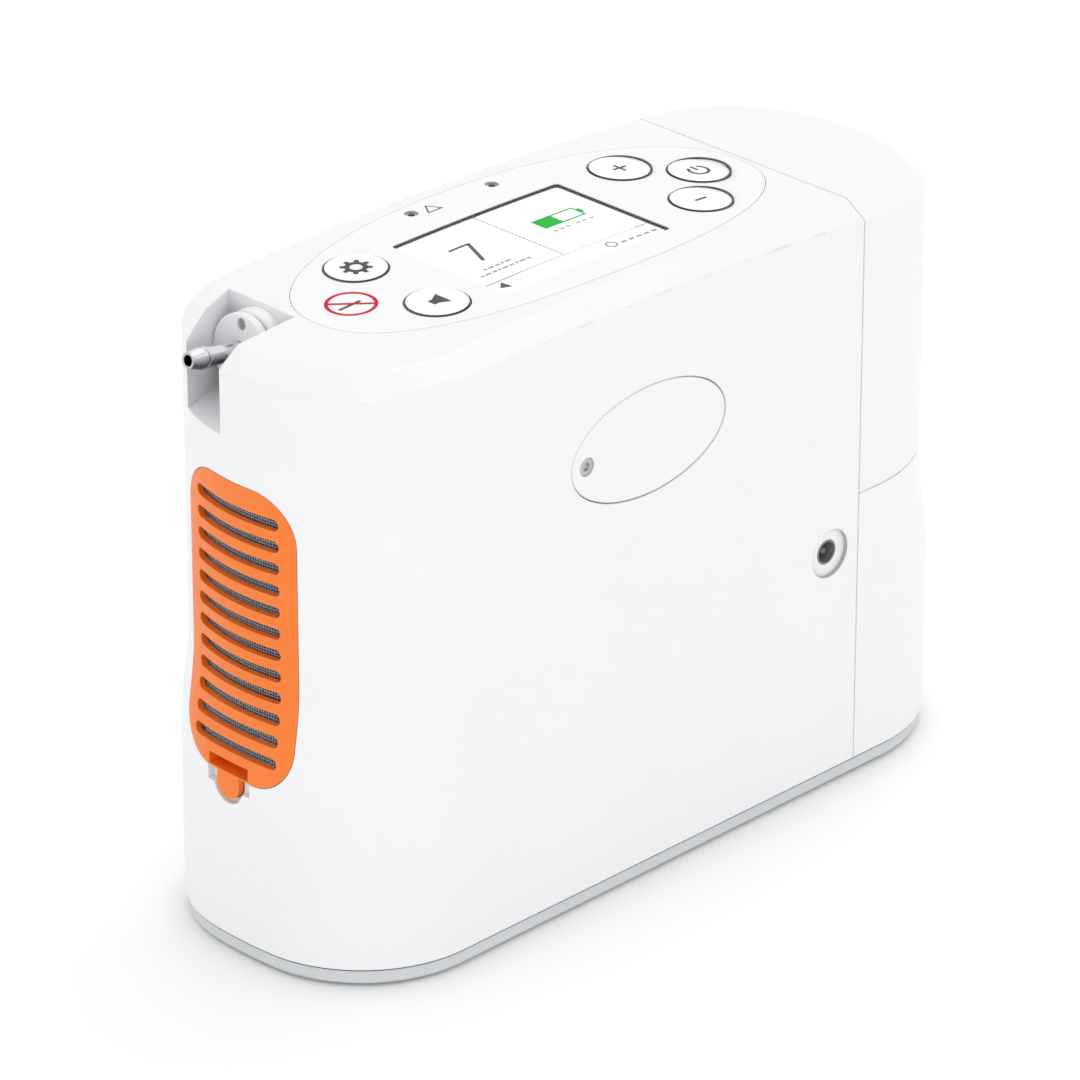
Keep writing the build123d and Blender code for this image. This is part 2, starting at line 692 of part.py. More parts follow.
LATCH_Z = 66.0
LATCH_HALF_Y = 11.0
LATCH_HALF_Z = 4.5
VENT_COUNT = 6
with BuildPart() as vent_cutter:
    with BuildSketch(Plane.YZ.offset(LENGTH / 2 + 10)) as vents:
        with Locations(*[(0, 18.0 + 6.2 * index) for index in range(VENT_COUNT)]):
            SlotOverall(44.0, 3.0)
    extrude(amount=-30)
with BuildPart() as latch_opening:
    with BuildSketch(Plane.YZ.offset(LENGTH / 2 + 10)) as latch_mouth:
        with Locations((0, LATCH_Z)):
            RectangleRounded(2 * LATCH_HALF_Y, 2 * LATCH_HALF_Z, 3.5)
    extrude(amount=-30)
with BuildPart() as rear_bosses:
    for x, y in REAR_SCREWS:
        add(post(x, y, 4.0, HOUSING_BOTTOM, SCREW_BOSS_TOP))
    add(OUTER, mode=Mode.INTERSECT)
COVER_SPACE = slab(REAR_FACE_X, FAR, 0, COVER_TOP)
COVER_CAVITY = INNER & slab(0, FAR, 0, COVER_TOP - WALL)

with BuildPart() as rear_lower_cover:
    add(OUTER)
    add(COVER_SPACE, mode=Mode.INTERSECT)
    add(COVER_CAVITY, mode=Mode.SUBTRACT)
    add(rear_bosses.part)
    add(block(88.0, 90.0, -8.0, 8.0, 58.0, COVER_TOP - WALL))
    add(vent_cutter.part, mode=Mode.SUBTRACT)
    add(latch_opening.part, mode=Mode.SUBTRACT)
    for x, y in REAR_SCREWS:
        add(post(x, y, 1.6, 0.0, SCREW_BOSS_TOP - 1.5), mode=Mode.SUBTRACT)
save(rear_lower_cover, "rear_lower_cover")

LATCH_FACE = body_solid(-0.8, HOUSING_BOTTOM)
with BuildPart() as battery_latch_button:
    with BuildSketch(Plane.YZ.offset(LENGTH / 2 + 10)) as latch_shape:
        with Locations((0, LATCH_Z)):
            RectangleRounded(2 * LATCH_HALF_Y - 0.6, 2 * LATCH_HALF_Z - 0.6, 3.2)
    extrude(amount=-18)
    add(LATCH_FACE, mode=Mode.INTERSECT)
    add(block(101.5, 104.5, -13.0, 13.0, LATCH_Z - 6.5, LATCH_Z + 6.5))
    add(rod(0.0, LATCH_Z, 4.0, 101.0, 107.2), mode=Mode.SUBTRACT)
save(battery_latch_button, "battery_latch_button")

with BuildPart() as latch_spring:
    with BuildLine() as coil:
        Helix(pitch=2.2, height=13.0, radius=3.0, center=(90.6, 0, LATCH_Z), direction=(1, 0, 0))
    with BuildSketch(Plane(origin=coil.line @ 0, z_dir=coil.line % 0)) as wire:
        Circle(0.35)
    sweep()
save(latch_spring, "latch_spring")

BATTERY_SPACE = slab(REAR_FACE_X, FAR, BATTERY_BOTTOM, FAR)
BATTERY_CAVITY = INNER & slab(REAR_FACE_X + WALL, FAR, BATTERY_BOTTOM + WALL, FAR)
with BuildPart() as battery_shell:
    add(OUTER)
    add(BATTERY_SPACE, mode=Mode.INTERSECT)
    add(BATTERY_CAVITY, mode=Mode.SUBTRACT)
    add(block(78.0, 92.0, -9.0, 9.0, BATTERY_BOTTOM - 1, BATTERY_BOTTOM + WALL), mode=Mode.SUBTRACT)
save(battery_shell, "battery_shell")

CELL_PLACES = [(74.4, 9.4 * step) for step in (-3, -1, 1, 3)] + [(93.0, -9.4), (93.0, 9.4)]
CELL_BOTTOM = 84.4
with BuildPart() as battery_cells:
    for x, y in CELL_PLACES:
        add(post(x, y, CELL_RADIUS, CELL_BOTTOM, CELL_BOTTOM + CELL_LENGTH))
    fillet(battery_cells.edges(), 0.8)
save(battery_cells, "battery_cells")

HOLDER_OUTLINES = [plan_outline(level, WALL + 0.5) for level in (90.0, 136.0)]
with BuildPart() as cell_holders:
    for outline in HOLDER_OUTLINES:
        add(outline)
    extrude(amount=3.0)
    add(slab(-FAR, REAR_FACE_X + WALL + 0.4, 0, FAR), mode=Mode.SUBTRACT)
    for x, y in CELL_PLACES:
        add(post(x, y, CELL_RADIUS + 0.1, 80.0, 150.0), mode=Mode.SUBTRACT)
save(cell_holders, "cell_holders")

BLADES = [-4.5 + 3.0 * index for index in range(4)]
with BuildPart() as dock_connector:
    add(block(79.5, 90.5, -7.5, 7.5, COVER_TOP, COVER_TOP + 2.2))
    for y in BLADES:
        add(block(82.0, 88.0, y - 0.4, y + 0.4, COVER_TOP + 2.2, COVER_TOP + 4.0))
save(dock_connector, "dock_connector")

with BuildPart() as battery_connector:
    add(block(76.5, 93.0, -10.5, 10.5, BATTERY_BOTTOM + WALL, CELL_BOTTOM - 0.1))
    for y in BLADES:
        add(block(81.5, 88.5, y - 0.8, y + 0.8, BATTERY_BOTTOM, COVER_TOP + 4.3), mode=Mode.SUBTRACT)
save(battery_connector, "battery_connector")

POWER_BOARD_SCREWS = ((-25.5, 14.5), (25.5, 14.5), (-25.5, 66.0), (25.5, 66.0))
with BuildPart() as power_board:
    add(block(66.0, 67.6, -28.0, 28.0, 12.0, 70.0))
    add(block(67.6, 77.0, -20.0, -8.0, 20.0, 32.0))
    add(block(67.6, 72.0, 4.0, 22.0, 40.0, 58.0))
    for y, z in POWER_BOARD_SCREWS:
        add(rod(y, z, PILOT_RADIUS + 0.2, 65.0, 69.0), mode=Mode.SUBTRACT)
save(power_board, "power_board")

BULKHEAD_SPACE = slab(59.0, 61.0, 7.0, 150.0)
BULKHEAD_PLAN = body_solid(WALL + 0.15, HOUSING_BOTTOM) & BULKHEAD_SPACE
with BuildPart() as rear_bulkhead:
    add(BULKHEAD_PLAN)
    add(block(59.0, 61.0, -30.0, 30.0, BASE_TOP, 8.0))
    add(block(58.0, 62.0, -23.0, 23.0, 18.0, 60.0), mode=Mode.SUBTRACT)
    for y, z in POWER_BOARD_SCREWS:
        add(rod(y, z, 2.2, 61.0, 66.0))
        add(rod(y, z, PILOT_RADIUS, 61.0, 66.0), mode=Mode.SUBTRACT)
save(rear_bulkhead, "rear_bulkhead")

# ---- Base, feet and base screws ------------------------------------------------------------------

BASE_OUTLINE = plan_outline(FEET_DROP, BASE_INSET)
with BuildPart() as base_plate:
    add(BASE_OUTLINE)
    extrude(amount=BASE_TOP - FEET_DROP)
    fillet(base_plate.faces().sort_by(Axis.Z)[0].edges(), 1.2)
    for x, y in FEET:
        add(post(x, y, FOOT_RADIUS + 0.2, 0.0, 2.2), mode=Mode.SUBTRACT)
    for x, y in BASE_SCREWS:
        add(post(x, y, 3.1, 0.0, 2.4), mode=Mode.SUBTRACT)
        add(post(x, y, 1.7, 0.0, 6.0), mode=Mode.SUBTRACT)
save(base_plate, "base_plate")

with BuildPart() as feet:
    for x, y in FEET:
        add(post(x, y, FOOT_RADIUS, 0.0, 2.2))
    fillet(feet.faces().group_by(Axis.Z)[0].edges(), 0.5)
save(feet, "feet")

with BuildPart() as base_screws:
    for x, y in BASE_SCREWS:
        add(post(x, y, 2.9, 1.1, 2.4))
        add(post(x, y, 1.45, 2.4, 14.0))
    with BuildSketch(Plane.XY.offset(1.1)) as sockets:
        with Locations(*BASE_SCREWS):
            RegularPolygon(1.2, 6)
    extrude(amount=0.9, mode=Mode.SUBTRACT)
save(base_screws, "base_screws")

# ---- Chassis ---------------------------------------------------------------------------------------

TRAY_BOTTOM = 6.5
TRAY_TOP = 9.0
SHELF_BOTTOM = 76.5
SHELF_TOP = 79.5
TRAY_PADS = ((-66.0, -22.0), (-66.0, 22.0), (46.0, -22.0), (46.0, 22.0))
POSTS = ((-61.0, -29.5), (-61.0, 29.5), (1.0, -29.5), (1.0, 29.5))
MOTOR_MOUNTS = ((-46.0, -18.0), (-46.0, 18.0), (-10.0, -18.0), (-10.0, 18.0))
with BuildPart() as chassis_tray:
    add(block(-78.0, 54.0, -30.5, 30.5, TRAY_BOTTOM, TRAY_TOP))
    fillet(chassis_tray.edges().filter_by(Axis.Z), 6.0)
    for x, y in TRAY_PADS:
        add(post(x, y, 5.0, BASE_TOP, TRAY_BOTTOM))
    for y in (-25.0, 25.0):
        add(block(FAN_REAR_X, FAN_REAR_X + 2.5, y - 3.0, y + 3.0, TRAY_TOP, FAN_Z - 20.0))
    for x, y in POSTS:
        add(block(x - 3.0, x + 3.0, y - 1.5, y + 1.5, TRAY_TOP, SHELF_BOTTOM))
save(chassis_tray, "chassis_tray")

with BuildPart() as tank_shelf:
    add(block(-64.0, 4.0, -31.0, 31.0, SHELF_BOTTOM, SHELF_TOP))
    fillet(tank_shelf.edges().filter_by(Axis.Z), 3.0)
save(tank_shelf, "tank_shelf")

with BuildPart() as motor_mounts:
    for x, y in MOTOR_MOUNTS:
        add(post(x, y, 5.0, TRAY_TOP, 17.0))
    fillet(motor_mounts.edges(), 0.8)
save(motor_mounts, "motor_mounts")

# ---- Compressor ------------------------------------------------------------------------------------

MOTOR_REAR_X = -6.0
MOTOR_FRONT_X = -50.0
BORE = SHAFT_RADIUS + SHAFT_CLEARANCE
with BuildPart() as motor_case:
    add(rod(0.0, COMPRESSOR_Z, 22.0, MOTOR_FRONT_X, MOTOR_REAR_X))
    add(block(-52.0, -4.0, -24.0, 24.0, 17.0, 19.5))
    add(block(-46.0, -10.0, -13.0, 13.0, 19.5, 28.0))
    add(rod(0.0, COMPRESSOR_Z, 20.0, MOTOR_FRONT_X + 2.5, MOTOR_REAR_X - 2.5), mode=Mode.SUBTRACT)
    add(rod(0.0, COMPRESSOR_Z, BORE, -60.0, 0.0), mode=Mode.SUBTRACT)
save(motor_case, "motor_case")

with BuildPart() as motor_stator:
    add(rod(0.0, COMPRESSOR_Z, 19.9, -44.0, -12.0))
    add(rod(0.0, COMPRESSOR_Z, 12.0, -45.0, -11.0), mode=Mode.SUBTRACT)
save(motor_stator, "motor_stator")

with BuildPart() as motor_rotor:
    add(rod(0.0, COMPRESSOR_Z, SHAFT_RADIUS, -64.0, 8.0))
    add(rod(0.0, COMPRESSOR_Z, 11.5, -43.0, -13.0))
    for x in (-62.0, 1.0):
        add(rod(0.0, COMPRESSOR_Z + 2.0, 6.5, x, x + 5.0))
save(motor_rotor, "motor_rotor")

PUMP_SPANS = ((-68.0, -50.2), (-5.8, 12.0))
with BuildPart() as pump_heads:
    for x0, x1 in PUMP_SPANS:
        add(block(x0, x1, -15.0, 15.0, 24.0, 58.0))
        add(block(x0, x1, -13.0, 13.0, 58.0, 74.0))
        for index in range(5):
            level = 59.0 + 3.2 * index
            add(block(x0, x1, -16.0, 16.0, level, level + 1.2))
        middle = (x0 + x1) / 2
        add(rod(0.0, COMPRESSOR_Z, 10.0, x0 + 2.0, x1 - 2.0), mode=Mode.SUBTRACT)
        add(post(middle, 0.0, 6.6, 50.0, 71.0), mode=Mode.SUBTRACT)
    add(rod(0.0, COMPRESSOR_Z, BORE, -56.0, 0.0), mode=Mode.SUBTRACT)
save(pump_heads, "pump_heads")

with BuildPart() as pump_pistons:
    for x0, x1 in PUMP_SPANS:
        middle = (x0 + x1) / 2
        add(post(middle, 0.0, 6.5, 62.0, 67.0))
        add(post(middle, 0.0, 2.0, 56.0, 62.0))
save(pump_pistons, "pump_pistons")

# ---- Cooling fan ------------------------------------------------------------------------------------

FAN_HUB_RADIUS = 11.5
FAN_RADIUS = 27.6
BLADE_COUNT = 7
HALF_FAN = FAN_SIZE / 2
with BuildPart() as fan_frame:
    add(block(FAN_FRONT_X, FAN_REAR_X, -HALF_FAN, HALF_FAN, FAN_Z - HALF_FAN, FAN_Z + HALF_FAN))
    fillet(fan_frame.edges().filter_by(Axis.X), 4.0)
    add(rod(0.0, FAN_Z, FAN_RADIUS + 0.8, FAN_FRONT_X - 1, FAN_REAR_X + 1), mode=Mode.SUBTRACT)
    add(rod(0.0, FAN_Z, 12.0, FAN_REAR_X - 2.0, FAN_REAR_X))
    for angle in (90, 210, 330):
        add(Pos(FAN_REAR_X - 1.0, 0, FAN_Z) * Rot(angle, 0, 0) * block(-1, 1, -1.5, 1.5, 10.0, 29.5))
    add(rod(0.0, FAN_Z, 1.6, FAN_REAR_X - 3.0, FAN_REAR_X), mode=Mode.SUBTRACT)
save(fan_frame, "fan_frame")

with BuildPart() as fan_rotor:
    add(rod(0.0, FAN_Z, FAN_HUB_RADIUS, FAN_FRONT_X + 1.0, FAN_REAR_X - 2.5))
    add(rod(0.0, FAN_Z, 1.55, FAN_REAR_X - 2.6, FAN_REAR_X - 0.5))
    for index in range(BLADE_COUNT):
        turn = Rot(360.0 * index / BLADE_COUNT, 0, 0)
        blade = Rot(0, 0, 38) * block(-5.5, 5.5, -0.6, 0.6, 10.5, FAN_RADIUS - 0.6)
        add(Pos(FAN_X - 0.8, 0, FAN_Z) * turn * blade)
save(fan_rotor, "fan_rotor")

# ---- Sieve beds, manifold, valves, tank, filter and tubes ----------------------------------------------

SIEVE_BOTTOM = 14.0
SIEVE_TOP = 118.0
SIEVE_PLACES = ((SIEVE_X, -SIEVE_Y), (SIEVE_X, SIEVE_Y))
with BuildPart() as sieve_beds:
    for x, y in SIEVE_PLACES:
        add(post(x, y, SIEVE_RADIUS, SIEVE_BOTTOM, SIEVE_TOP))
save(sieve_beds, "sieve_beds")

with BuildPart() as sieve_caps:
    for x, y in SIEVE_PLACES:
        add(post(x, y, SIEVE_RADIUS + 1.2, TRAY_TOP, SIEVE_BOTTOM))
        add(post(x, y, SIEVE_RADIUS + 1.2, SIEVE_TOP, SIEVE_TOP + 5.0))
    fillet(sieve_caps.edges(), 0.8)
save(sieve_caps, "sieve_caps")

MANIFOLD_BOTTOM = 123.0
MANIFOLD_TOP = 131.0
with BuildPart() as valve_manifold:
    add(block(6.0, 54.0, -34.0, 34.0, MANIFOLD_BOTTOM, MANIFOLD_TOP))
    fillet(valve_manifold.edges().filter_by(Axis.Z), 3.0)
    add(post(9.0, 0.0, 2.0, 120.0, 128.0), mode=Mode.SUBTRACT)
save(valve_manifold, "valve_manifold")

with BuildPart() as solenoid_valves:
    for y in (-25.5, -8.5, 8.5, 25.5):
        add(post(30.0, y, 6.5, MANIFOLD_TOP, 143.0))
        add(block(22.0, 38.0, y - 7.0, y + 7.0, MANIFOLD_TOP, 133.0))
save(solenoid_valves, "solenoid_valves")

with BuildPart() as product_tank:
    add(block(-60.0, 2.0, -25.0, 25.0, SHELF_TOP, 118.0))
    fillet(product_tank.edges(), 6.0)
save(product_tank, "product_tank")

FILTER_X = -72.5
with BuildPart() as outlet_filter:
    add(post(FILTER_X, OUTLET_Y, 7.5, 120.5, 136.0))
    fillet(outlet_filter.edges(), 1.5)
save(outlet_filter, "outlet_filter")

TUBE_ROUTES = [
    [(FILTER_X, OUTLET_Y, 136.0), (FILTER_X, OUTLET_Y, 143.0), (POCKET_BACK_X + 2.0, OUTLET_Y, 143.0)],
    [(FILTER_X, OUTLET_Y, 120.5), (FILTER_X, OUTLET_Y, 108.0), (-60.0, OUTLET_Y, 108.0)],
    [(6.0, -12.0, 127.0), (-6.0, -12.0, 127.0), (-6.0, -12.0, 118.0)],
]
with BuildPart() as air_tubes:
    for route in TUBE_ROUTES:
        with BuildLine() as path:
            FilletPolyline(*route, radius=4.5)
        with BuildSketch(Plane(origin=path.line @ 0, z_dir=path.line % 0)) as tube:
            Circle(2.5)
        sweep(path=path.line)
    add(post(9.0, 0.0, 2.5, 74.0, MANIFOLD_BOTTOM))
save(air_tubes, "air_tubes")

# ---- Control electronics ---------------------------------------------------------------------------------

BOARD_Y = 34.0
BOARD_SPAN = (-55.0, 0.0)
STANDOFF_PLACES = ((-50.0, 26.0), (-50.0, 112.0), (-5.0, 26.0), (-5.0, 112.0))
with BuildPart() as main_board:
    add(block(BOARD_SPAN[0], BOARD_SPAN[1], BOARD_Y, BOARD_Y + 1.6, 21.0, 118.0))
    for x, z in STANDOFF_PLACES:
        add(side_disc(x, z, 1.2, BOARD_Y - 1, BOARD_Y + 2), mode=Mode.SUBTRACT)
save(main_board, "main_board")

with BuildPart() as board_components:
    add(block(-44.0, -28.0, 32.4, BOARD_Y, 86.0, 102.0))
    add(block(-20.0, -8.0, 31.6, BOARD_Y, 92.0, 104.0))
    add(block(-46.0, -36.0, 31.8, BOARD_Y, 60.0, 72.0))
    for x in (-26.0, -18.0, -10.0):
        add(side_disc(x, 66.0, 3.0, 32.0, BOARD_Y))
    add(block(-30.0, -12.0, 31.8, BOARD_Y, 113.0, 118.0))
save(board_components, "board_components")

with BuildPart() as board_standoffs:
    for x, z in STANDOFF_PLACES:
        add(side_disc(x, z, 2.5, BOARD_Y + 1.6, HALF_WIDTH - WALL))
        add(side_disc(x, z, PILOT_RADIUS, BOARD_Y + 1.6, HALF_WIDTH - WALL), mode=Mode.SUBTRACT)
save(board_standoffs, "board_standoffs")

INNER_HEAD_RADIUS = 2.0
INNER_HEAD_HEIGHT = 1.2
with BuildPart() as inner_screws:
    for x, z in STANDOFF_PLACES:
        add(side_disc(x, z, INNER_HEAD_RADIUS, BOARD_Y - INNER_HEAD_HEIGHT, BOARD_Y))
        add(side_disc(x, z, PILOT_RADIUS - 0.02, BOARD_Y, BOARD_Y + 4.5))
    board_under = KEY_BOARD_TOP - KEY_BOARD_THICK
    for x, y in KEY_BOARD_SCREWS:
        add(post(x, y, INNER_HEAD_RADIUS, board_under - INNER_HEAD_HEIGHT, board_under))
        add(post(x, y, PILOT_RADIUS - 0.02, board_under, KEY_BOARD_TOP + 5.0))
    for y, z in POWER_BOARD_SCREWS:
        add(rod(y, z, INNER_HEAD_RADIUS, 67.6, 67.6 + INNER_HEAD_HEIGHT))
        add(rod(y, z, PILOT_RADIUS - 0.02, 62.0, 67.6))
save(inner_screws, "inner_screws")

with BuildPart() as ribbon_cable:
    with BuildSketch(Plane.YZ.offset(-28.0)) as ribbon_profile:
        with BuildLine():
            Polyline((33.0, 118.1), (33.0, 138.0), (27.0, KEY_BOARD_TOP - KEY_BOARD_THICK))
            offset(amount=0.25)
        make_face()
    extrude(amount=14.0)
    add(slab(-FAR, FAR, KEY_BOARD_TOP - KEY_BOARD_THICK, FAR), mode=Mode.SUBTRACT)
    add(slab(-FAR, FAR, 0, 118.1), mode=Mode.SUBTRACT)
save(ribbon_cable, "ribbon_cable")
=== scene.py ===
import json
import math

import bmesh
import bpy
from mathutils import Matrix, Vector
from mathutils.bvhtree import BVHTree
from mathutils.geometry import convex_hull_2d

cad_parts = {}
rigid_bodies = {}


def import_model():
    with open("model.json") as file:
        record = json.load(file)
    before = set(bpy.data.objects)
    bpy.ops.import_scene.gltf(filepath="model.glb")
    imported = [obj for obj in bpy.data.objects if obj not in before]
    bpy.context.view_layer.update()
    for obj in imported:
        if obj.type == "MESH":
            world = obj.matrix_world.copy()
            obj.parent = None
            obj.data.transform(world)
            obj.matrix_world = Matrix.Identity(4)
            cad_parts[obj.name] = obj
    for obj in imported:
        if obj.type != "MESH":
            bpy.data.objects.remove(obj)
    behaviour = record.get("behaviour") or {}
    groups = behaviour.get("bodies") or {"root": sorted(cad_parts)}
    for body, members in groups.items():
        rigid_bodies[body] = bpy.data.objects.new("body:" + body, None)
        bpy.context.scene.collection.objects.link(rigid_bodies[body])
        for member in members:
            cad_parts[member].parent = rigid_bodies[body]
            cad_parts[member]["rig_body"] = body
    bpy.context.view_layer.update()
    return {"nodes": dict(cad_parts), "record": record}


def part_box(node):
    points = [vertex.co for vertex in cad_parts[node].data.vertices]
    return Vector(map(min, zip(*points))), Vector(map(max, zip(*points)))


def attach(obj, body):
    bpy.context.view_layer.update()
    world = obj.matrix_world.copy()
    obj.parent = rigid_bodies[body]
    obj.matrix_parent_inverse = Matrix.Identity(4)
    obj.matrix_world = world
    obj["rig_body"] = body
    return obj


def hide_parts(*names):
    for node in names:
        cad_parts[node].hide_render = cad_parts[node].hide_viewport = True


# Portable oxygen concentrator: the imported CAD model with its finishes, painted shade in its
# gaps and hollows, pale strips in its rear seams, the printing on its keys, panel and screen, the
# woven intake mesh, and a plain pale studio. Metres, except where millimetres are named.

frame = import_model()
nodes = frame["nodes"]
MM = 0.001

# Sizes and places of the CAD model that the drawn pieces fit, in millimetres.
KEYS = ("settings", "mute", "plus", "power", "minus")
KEY_RADIUS = 7.6
KEY_HOLE_RADIUS = 8.2
KEY_PROUD = 0.3
LAMPS = ((-25.4, 27.3), (1.6, 26.8))
LAMP_LENS_RADIUS = 1.7
LAMP_HOLE_RADIUS = 1.8
LAMP_DROP = 0.9
DISH_RADIUS = 6.5
DISH_DEPTH = 1.2
REAR_SEAM = 0.3
BASE_SEAM = 0.4

# Thickness of the prints, and the dark chip in each lamp, in millimetres.
INK = 0.03
SCREEN_INK = 0.08
CHIP_RADIUS = 0.95
CHIP_OFFSET = 0.5

# Widths of the softened rims and of the worn edges, in metres.
RIM_SOFTNESS = 0.4 * MM
WEAR_WIDTH = 0.5 * MM

# Strength of the white surround and power of the three lights.
SKY_STRENGTH = 1.03
KEY_POWER = 0.9
FRONT_POWER = 3.2
TOP_POWER = 4.4

# ---- Materials ----------------------------------------------------------------------------


def new_material(name, color, roughness, metallic=0.0):
    """An empty procedural material with its shader's constants set."""
    material = bpy.data.materials.new(name)
    material.use_nodes = True
    shader = material.node_tree.nodes["Principled BSDF"]
    shader.inputs["Base Color"].default_value = (*color, 1.0)
    shader.inputs["Roughness"].default_value = roughness
    shader.inputs["Metallic"].default_value = metallic
    material.diffuse_color = (*color, 1.0)
    return material, material.node_tree, shader


def coordinates(tree, scale=(1.0, 1.0, 1.0)):
    """Object coordinates, stretched where a grain has a direction."""
    source = tree.nodes.new("ShaderNodeTexCoord")
    mapping = tree.nodes.new("ShaderNodeMapping")
    mapping.inputs["Scale"].default_value = scale
    tree.links.new(source.outputs["Object"], mapping.inputs["Vector"])
    return mapping.outputs["Vector"]


def noise(tree, vector, scale, detail=3.0):
    """Noise of a given number of cells per metre."""
    node = tree.nodes.new("ShaderNodeTexNoise")
    node.inputs["Scale"].default_value = scale
    node.inputs["Detail"].default_value = detail
    tree.links.new(vector, node.inputs["Vector"])
    return node.outputs["Fac"]


def spread(tree, value, low, high, start=0.3, stop=0.7):
    """Maps a 0 to 1 pattern onto a narrow range."""
    node = tree.nodes.new("ShaderNodeMapRange")
    node.inputs["From Min"].default_value = start
    node.inputs["From Max"].default_value = stop
    node.inputs["To Min"].default_value = low
    node.inputs["To Max"].default_value = high
    tree.links.new(value, node.inputs["Value"])
    return node.outputs["Result"]


def mix_colors(tree, share, first, second):
    """Blends two colours, each a tuple or another node's output."""
    node = tree.nodes.new("ShaderNodeMix")
    node.data_type = "RGBA"
    tree.links.new(share, node.inputs["Factor"])
    color_inputs = [socket for socket in node.inputs if socket.type == "RGBA"]
    for socket, value in zip(color_inputs, (first, second)):
        if isinstance(value, tuple):
            socket.default_value = (*value, 1.0)
        else:
            tree.links.new(value, socket)
    return [socket for socket in node.outputs if socket.type == "RGBA"][0]


def bump(tree, shader, height, distance, soft=0.0):
    """Raises a pattern by a real distance, over rims rounded by soft metres where asked."""
    node = tree.nodes.new("ShaderNodeBump")
    node.inputs["Distance"].default_value = distance
    node.inputs["Strength"].default_value = 1.0
    tree.links.new(height, node.inputs["Height"])
    if soft:
        rim = tree.nodes.new("ShaderNodeBevel")
        rim.samples = 8
        rim.inputs["Radius"].default_value = soft
        tree.links.new(rim.outputs["Normal"], node.inputs["Normal"])
    tree.links.new(node.outputs["Normal"], shader.inputs["Normal"])


def upward(tree, start, stop):
    """0 to 1 as the surface turns from facing down or aside to facing up."""
    surface = tree.nodes.new("ShaderNodeNewGeometry")
    parts = tree.nodes.new("ShaderNodeSeparateXYZ")
    tree.links.new(surface.outputs["Normal"], parts.inputs["Vector"])
    return spread(tree, parts.outputs["Z"], 0.0, 1.0, start, stop)


def edge_mask(tree, radius):
    """1 along outer edges and 0 on open faces, from how far a rounded normal turns."""
    rounded = tree.nodes.new("ShaderNodeBevel")
    rounded.samples = 4
    rounded.inputs["Radius"].default_value = radius
    flat = tree.nodes.new("ShaderNodeNewGeometry")
    dot = tree.nodes.new("ShaderNodeVectorMath")
    dot.operation = "DOT_PRODUCT"
    tree.links.new(rounded.outputs["Normal"], dot.inputs[0])
    tree.links.new(flat.outputs["Normal"], dot.inputs[1])
    return spread(tree, dot.outputs["Value"], 1.0, 0.0, 0.80, 0.99)


def moulded(
    name, color, roughness, grain=2600.0, depth=0.00002, tone=0.02, worn=None, coat=0.0, soft=0.0
):
    """Moulded plastic: fine spark-erosion grain, faint tone changes, edges rubbed smoother."""
    material, tree, shader = new_material(name, color, roughness)
    place = coordinates(tree)
    patches = noise(tree, place, 38.0)
    darker = tuple(channel * (1.0 - 2.0 * tone) for channel in color)
    tinted = mix_colors(tree, spread(tree, patches, 0.0, 1.0), darker, color)
    if worn:
        tinted = mix_colors(tree, edge_mask(tree, WEAR_WIDTH), tinted, worn)
    tree.links.new(tinted, shader.inputs["Base Color"])
    fine = noise(tree, place, grain, 2.0)
    rub = noise(tree, place, 160.0, 4.0)
    tree.links.new(
        spread(tree, rub, roughness - 0.05, roughness + 0.05), shader.inputs["Roughness"]
    )
    bump(tree, shader, fine, depth, soft)
    shader.inputs["Coat Weight"].default_value = coat
    shader.inputs["Coat Roughness"].default_value = 0.15
    return material


def metal(name, color, roughness, direction=(1.0, 1.0, 1.0), scratch=0.000006):
    """Machined metal with fine marks along one direction."""
    material, tree, shader = new_material(name, color, roughness, 1.0)
    place = coordinates(tree, direction)
    marks = noise(tree, place, 900.0, 6.0)
    tree.links.new(
        spread(tree, marks, roughness * 0.7, roughness * 1.5), shader.inputs["Roughness"]
    )
    stain = noise(tree, coordinates(tree), 60.0)
    dull = tuple(channel * 0.88 for channel in color)
    tree.links.new(
        mix_colors(tree, spread(tree, stain, 0.0, 1.0), dull, color), shader.inputs["Base Color"]
    )
    bump(tree, shader, marks, scratch)
    return material


def polished():
    """Polished chrome, with a painted dark reflection where it turns down."""
    material, tree, shader = new_material("chrome", (0.6, 0.6, 0.61), 0.10, 1.0)
    marks = noise(tree, coordinates(tree, (1.0, 5.0, 5.0)), 900.0, 6.0)
    bright = mix_colors(tree, marks, (0.66, 0.67, 0.68), (0.76, 0.77, 0.78))
    # Painted reflection: dark where the surface turns down, as if mirroring a dark surround.
    chrome_with_painted_reflection = mix_colors(tree, upward(tree, -0.35, 0.45), (0.10, 0.10, 0.11), bright)
    tree.links.new(chrome_with_painted_reflection, shader.inputs["Base Color"])
    tree.links.new(spread(tree, marks, 0.07, 0.15), shader.inputs["Roughness"])
    bump(tree, shader, marks, 0.000002)
    return material


def foam():
    """Open-cell foam: painted shade in the cells, lighter walls between them."""
    material, tree, shader = new_material("filter_foam", (0.10, 0.10, 0.105), 0.95)
    cells = tree.nodes.new("ShaderNodeTexVoronoi")
    cells.feature = "DISTANCE_TO_EDGE"
    cells.inputs["Scale"].default_value = 1100.0
    tree.links.new(coordinates(tree), cells.inputs["Vector"])
    # Painted shade: the cells between the walls are coloured darker.
    walls = spread(tree, cells.outputs["Distance"], 1.0, 0.0, 0.0, 0.25)
    tree.links.new(
        mix_colors(tree, walls, (0.05, 0.05, 0.053), (0.16, 0.16, 0.165)),
        shader.inputs["Base Color"],
    )
    bump(tree, shader, walls, 0.0003)
    return material


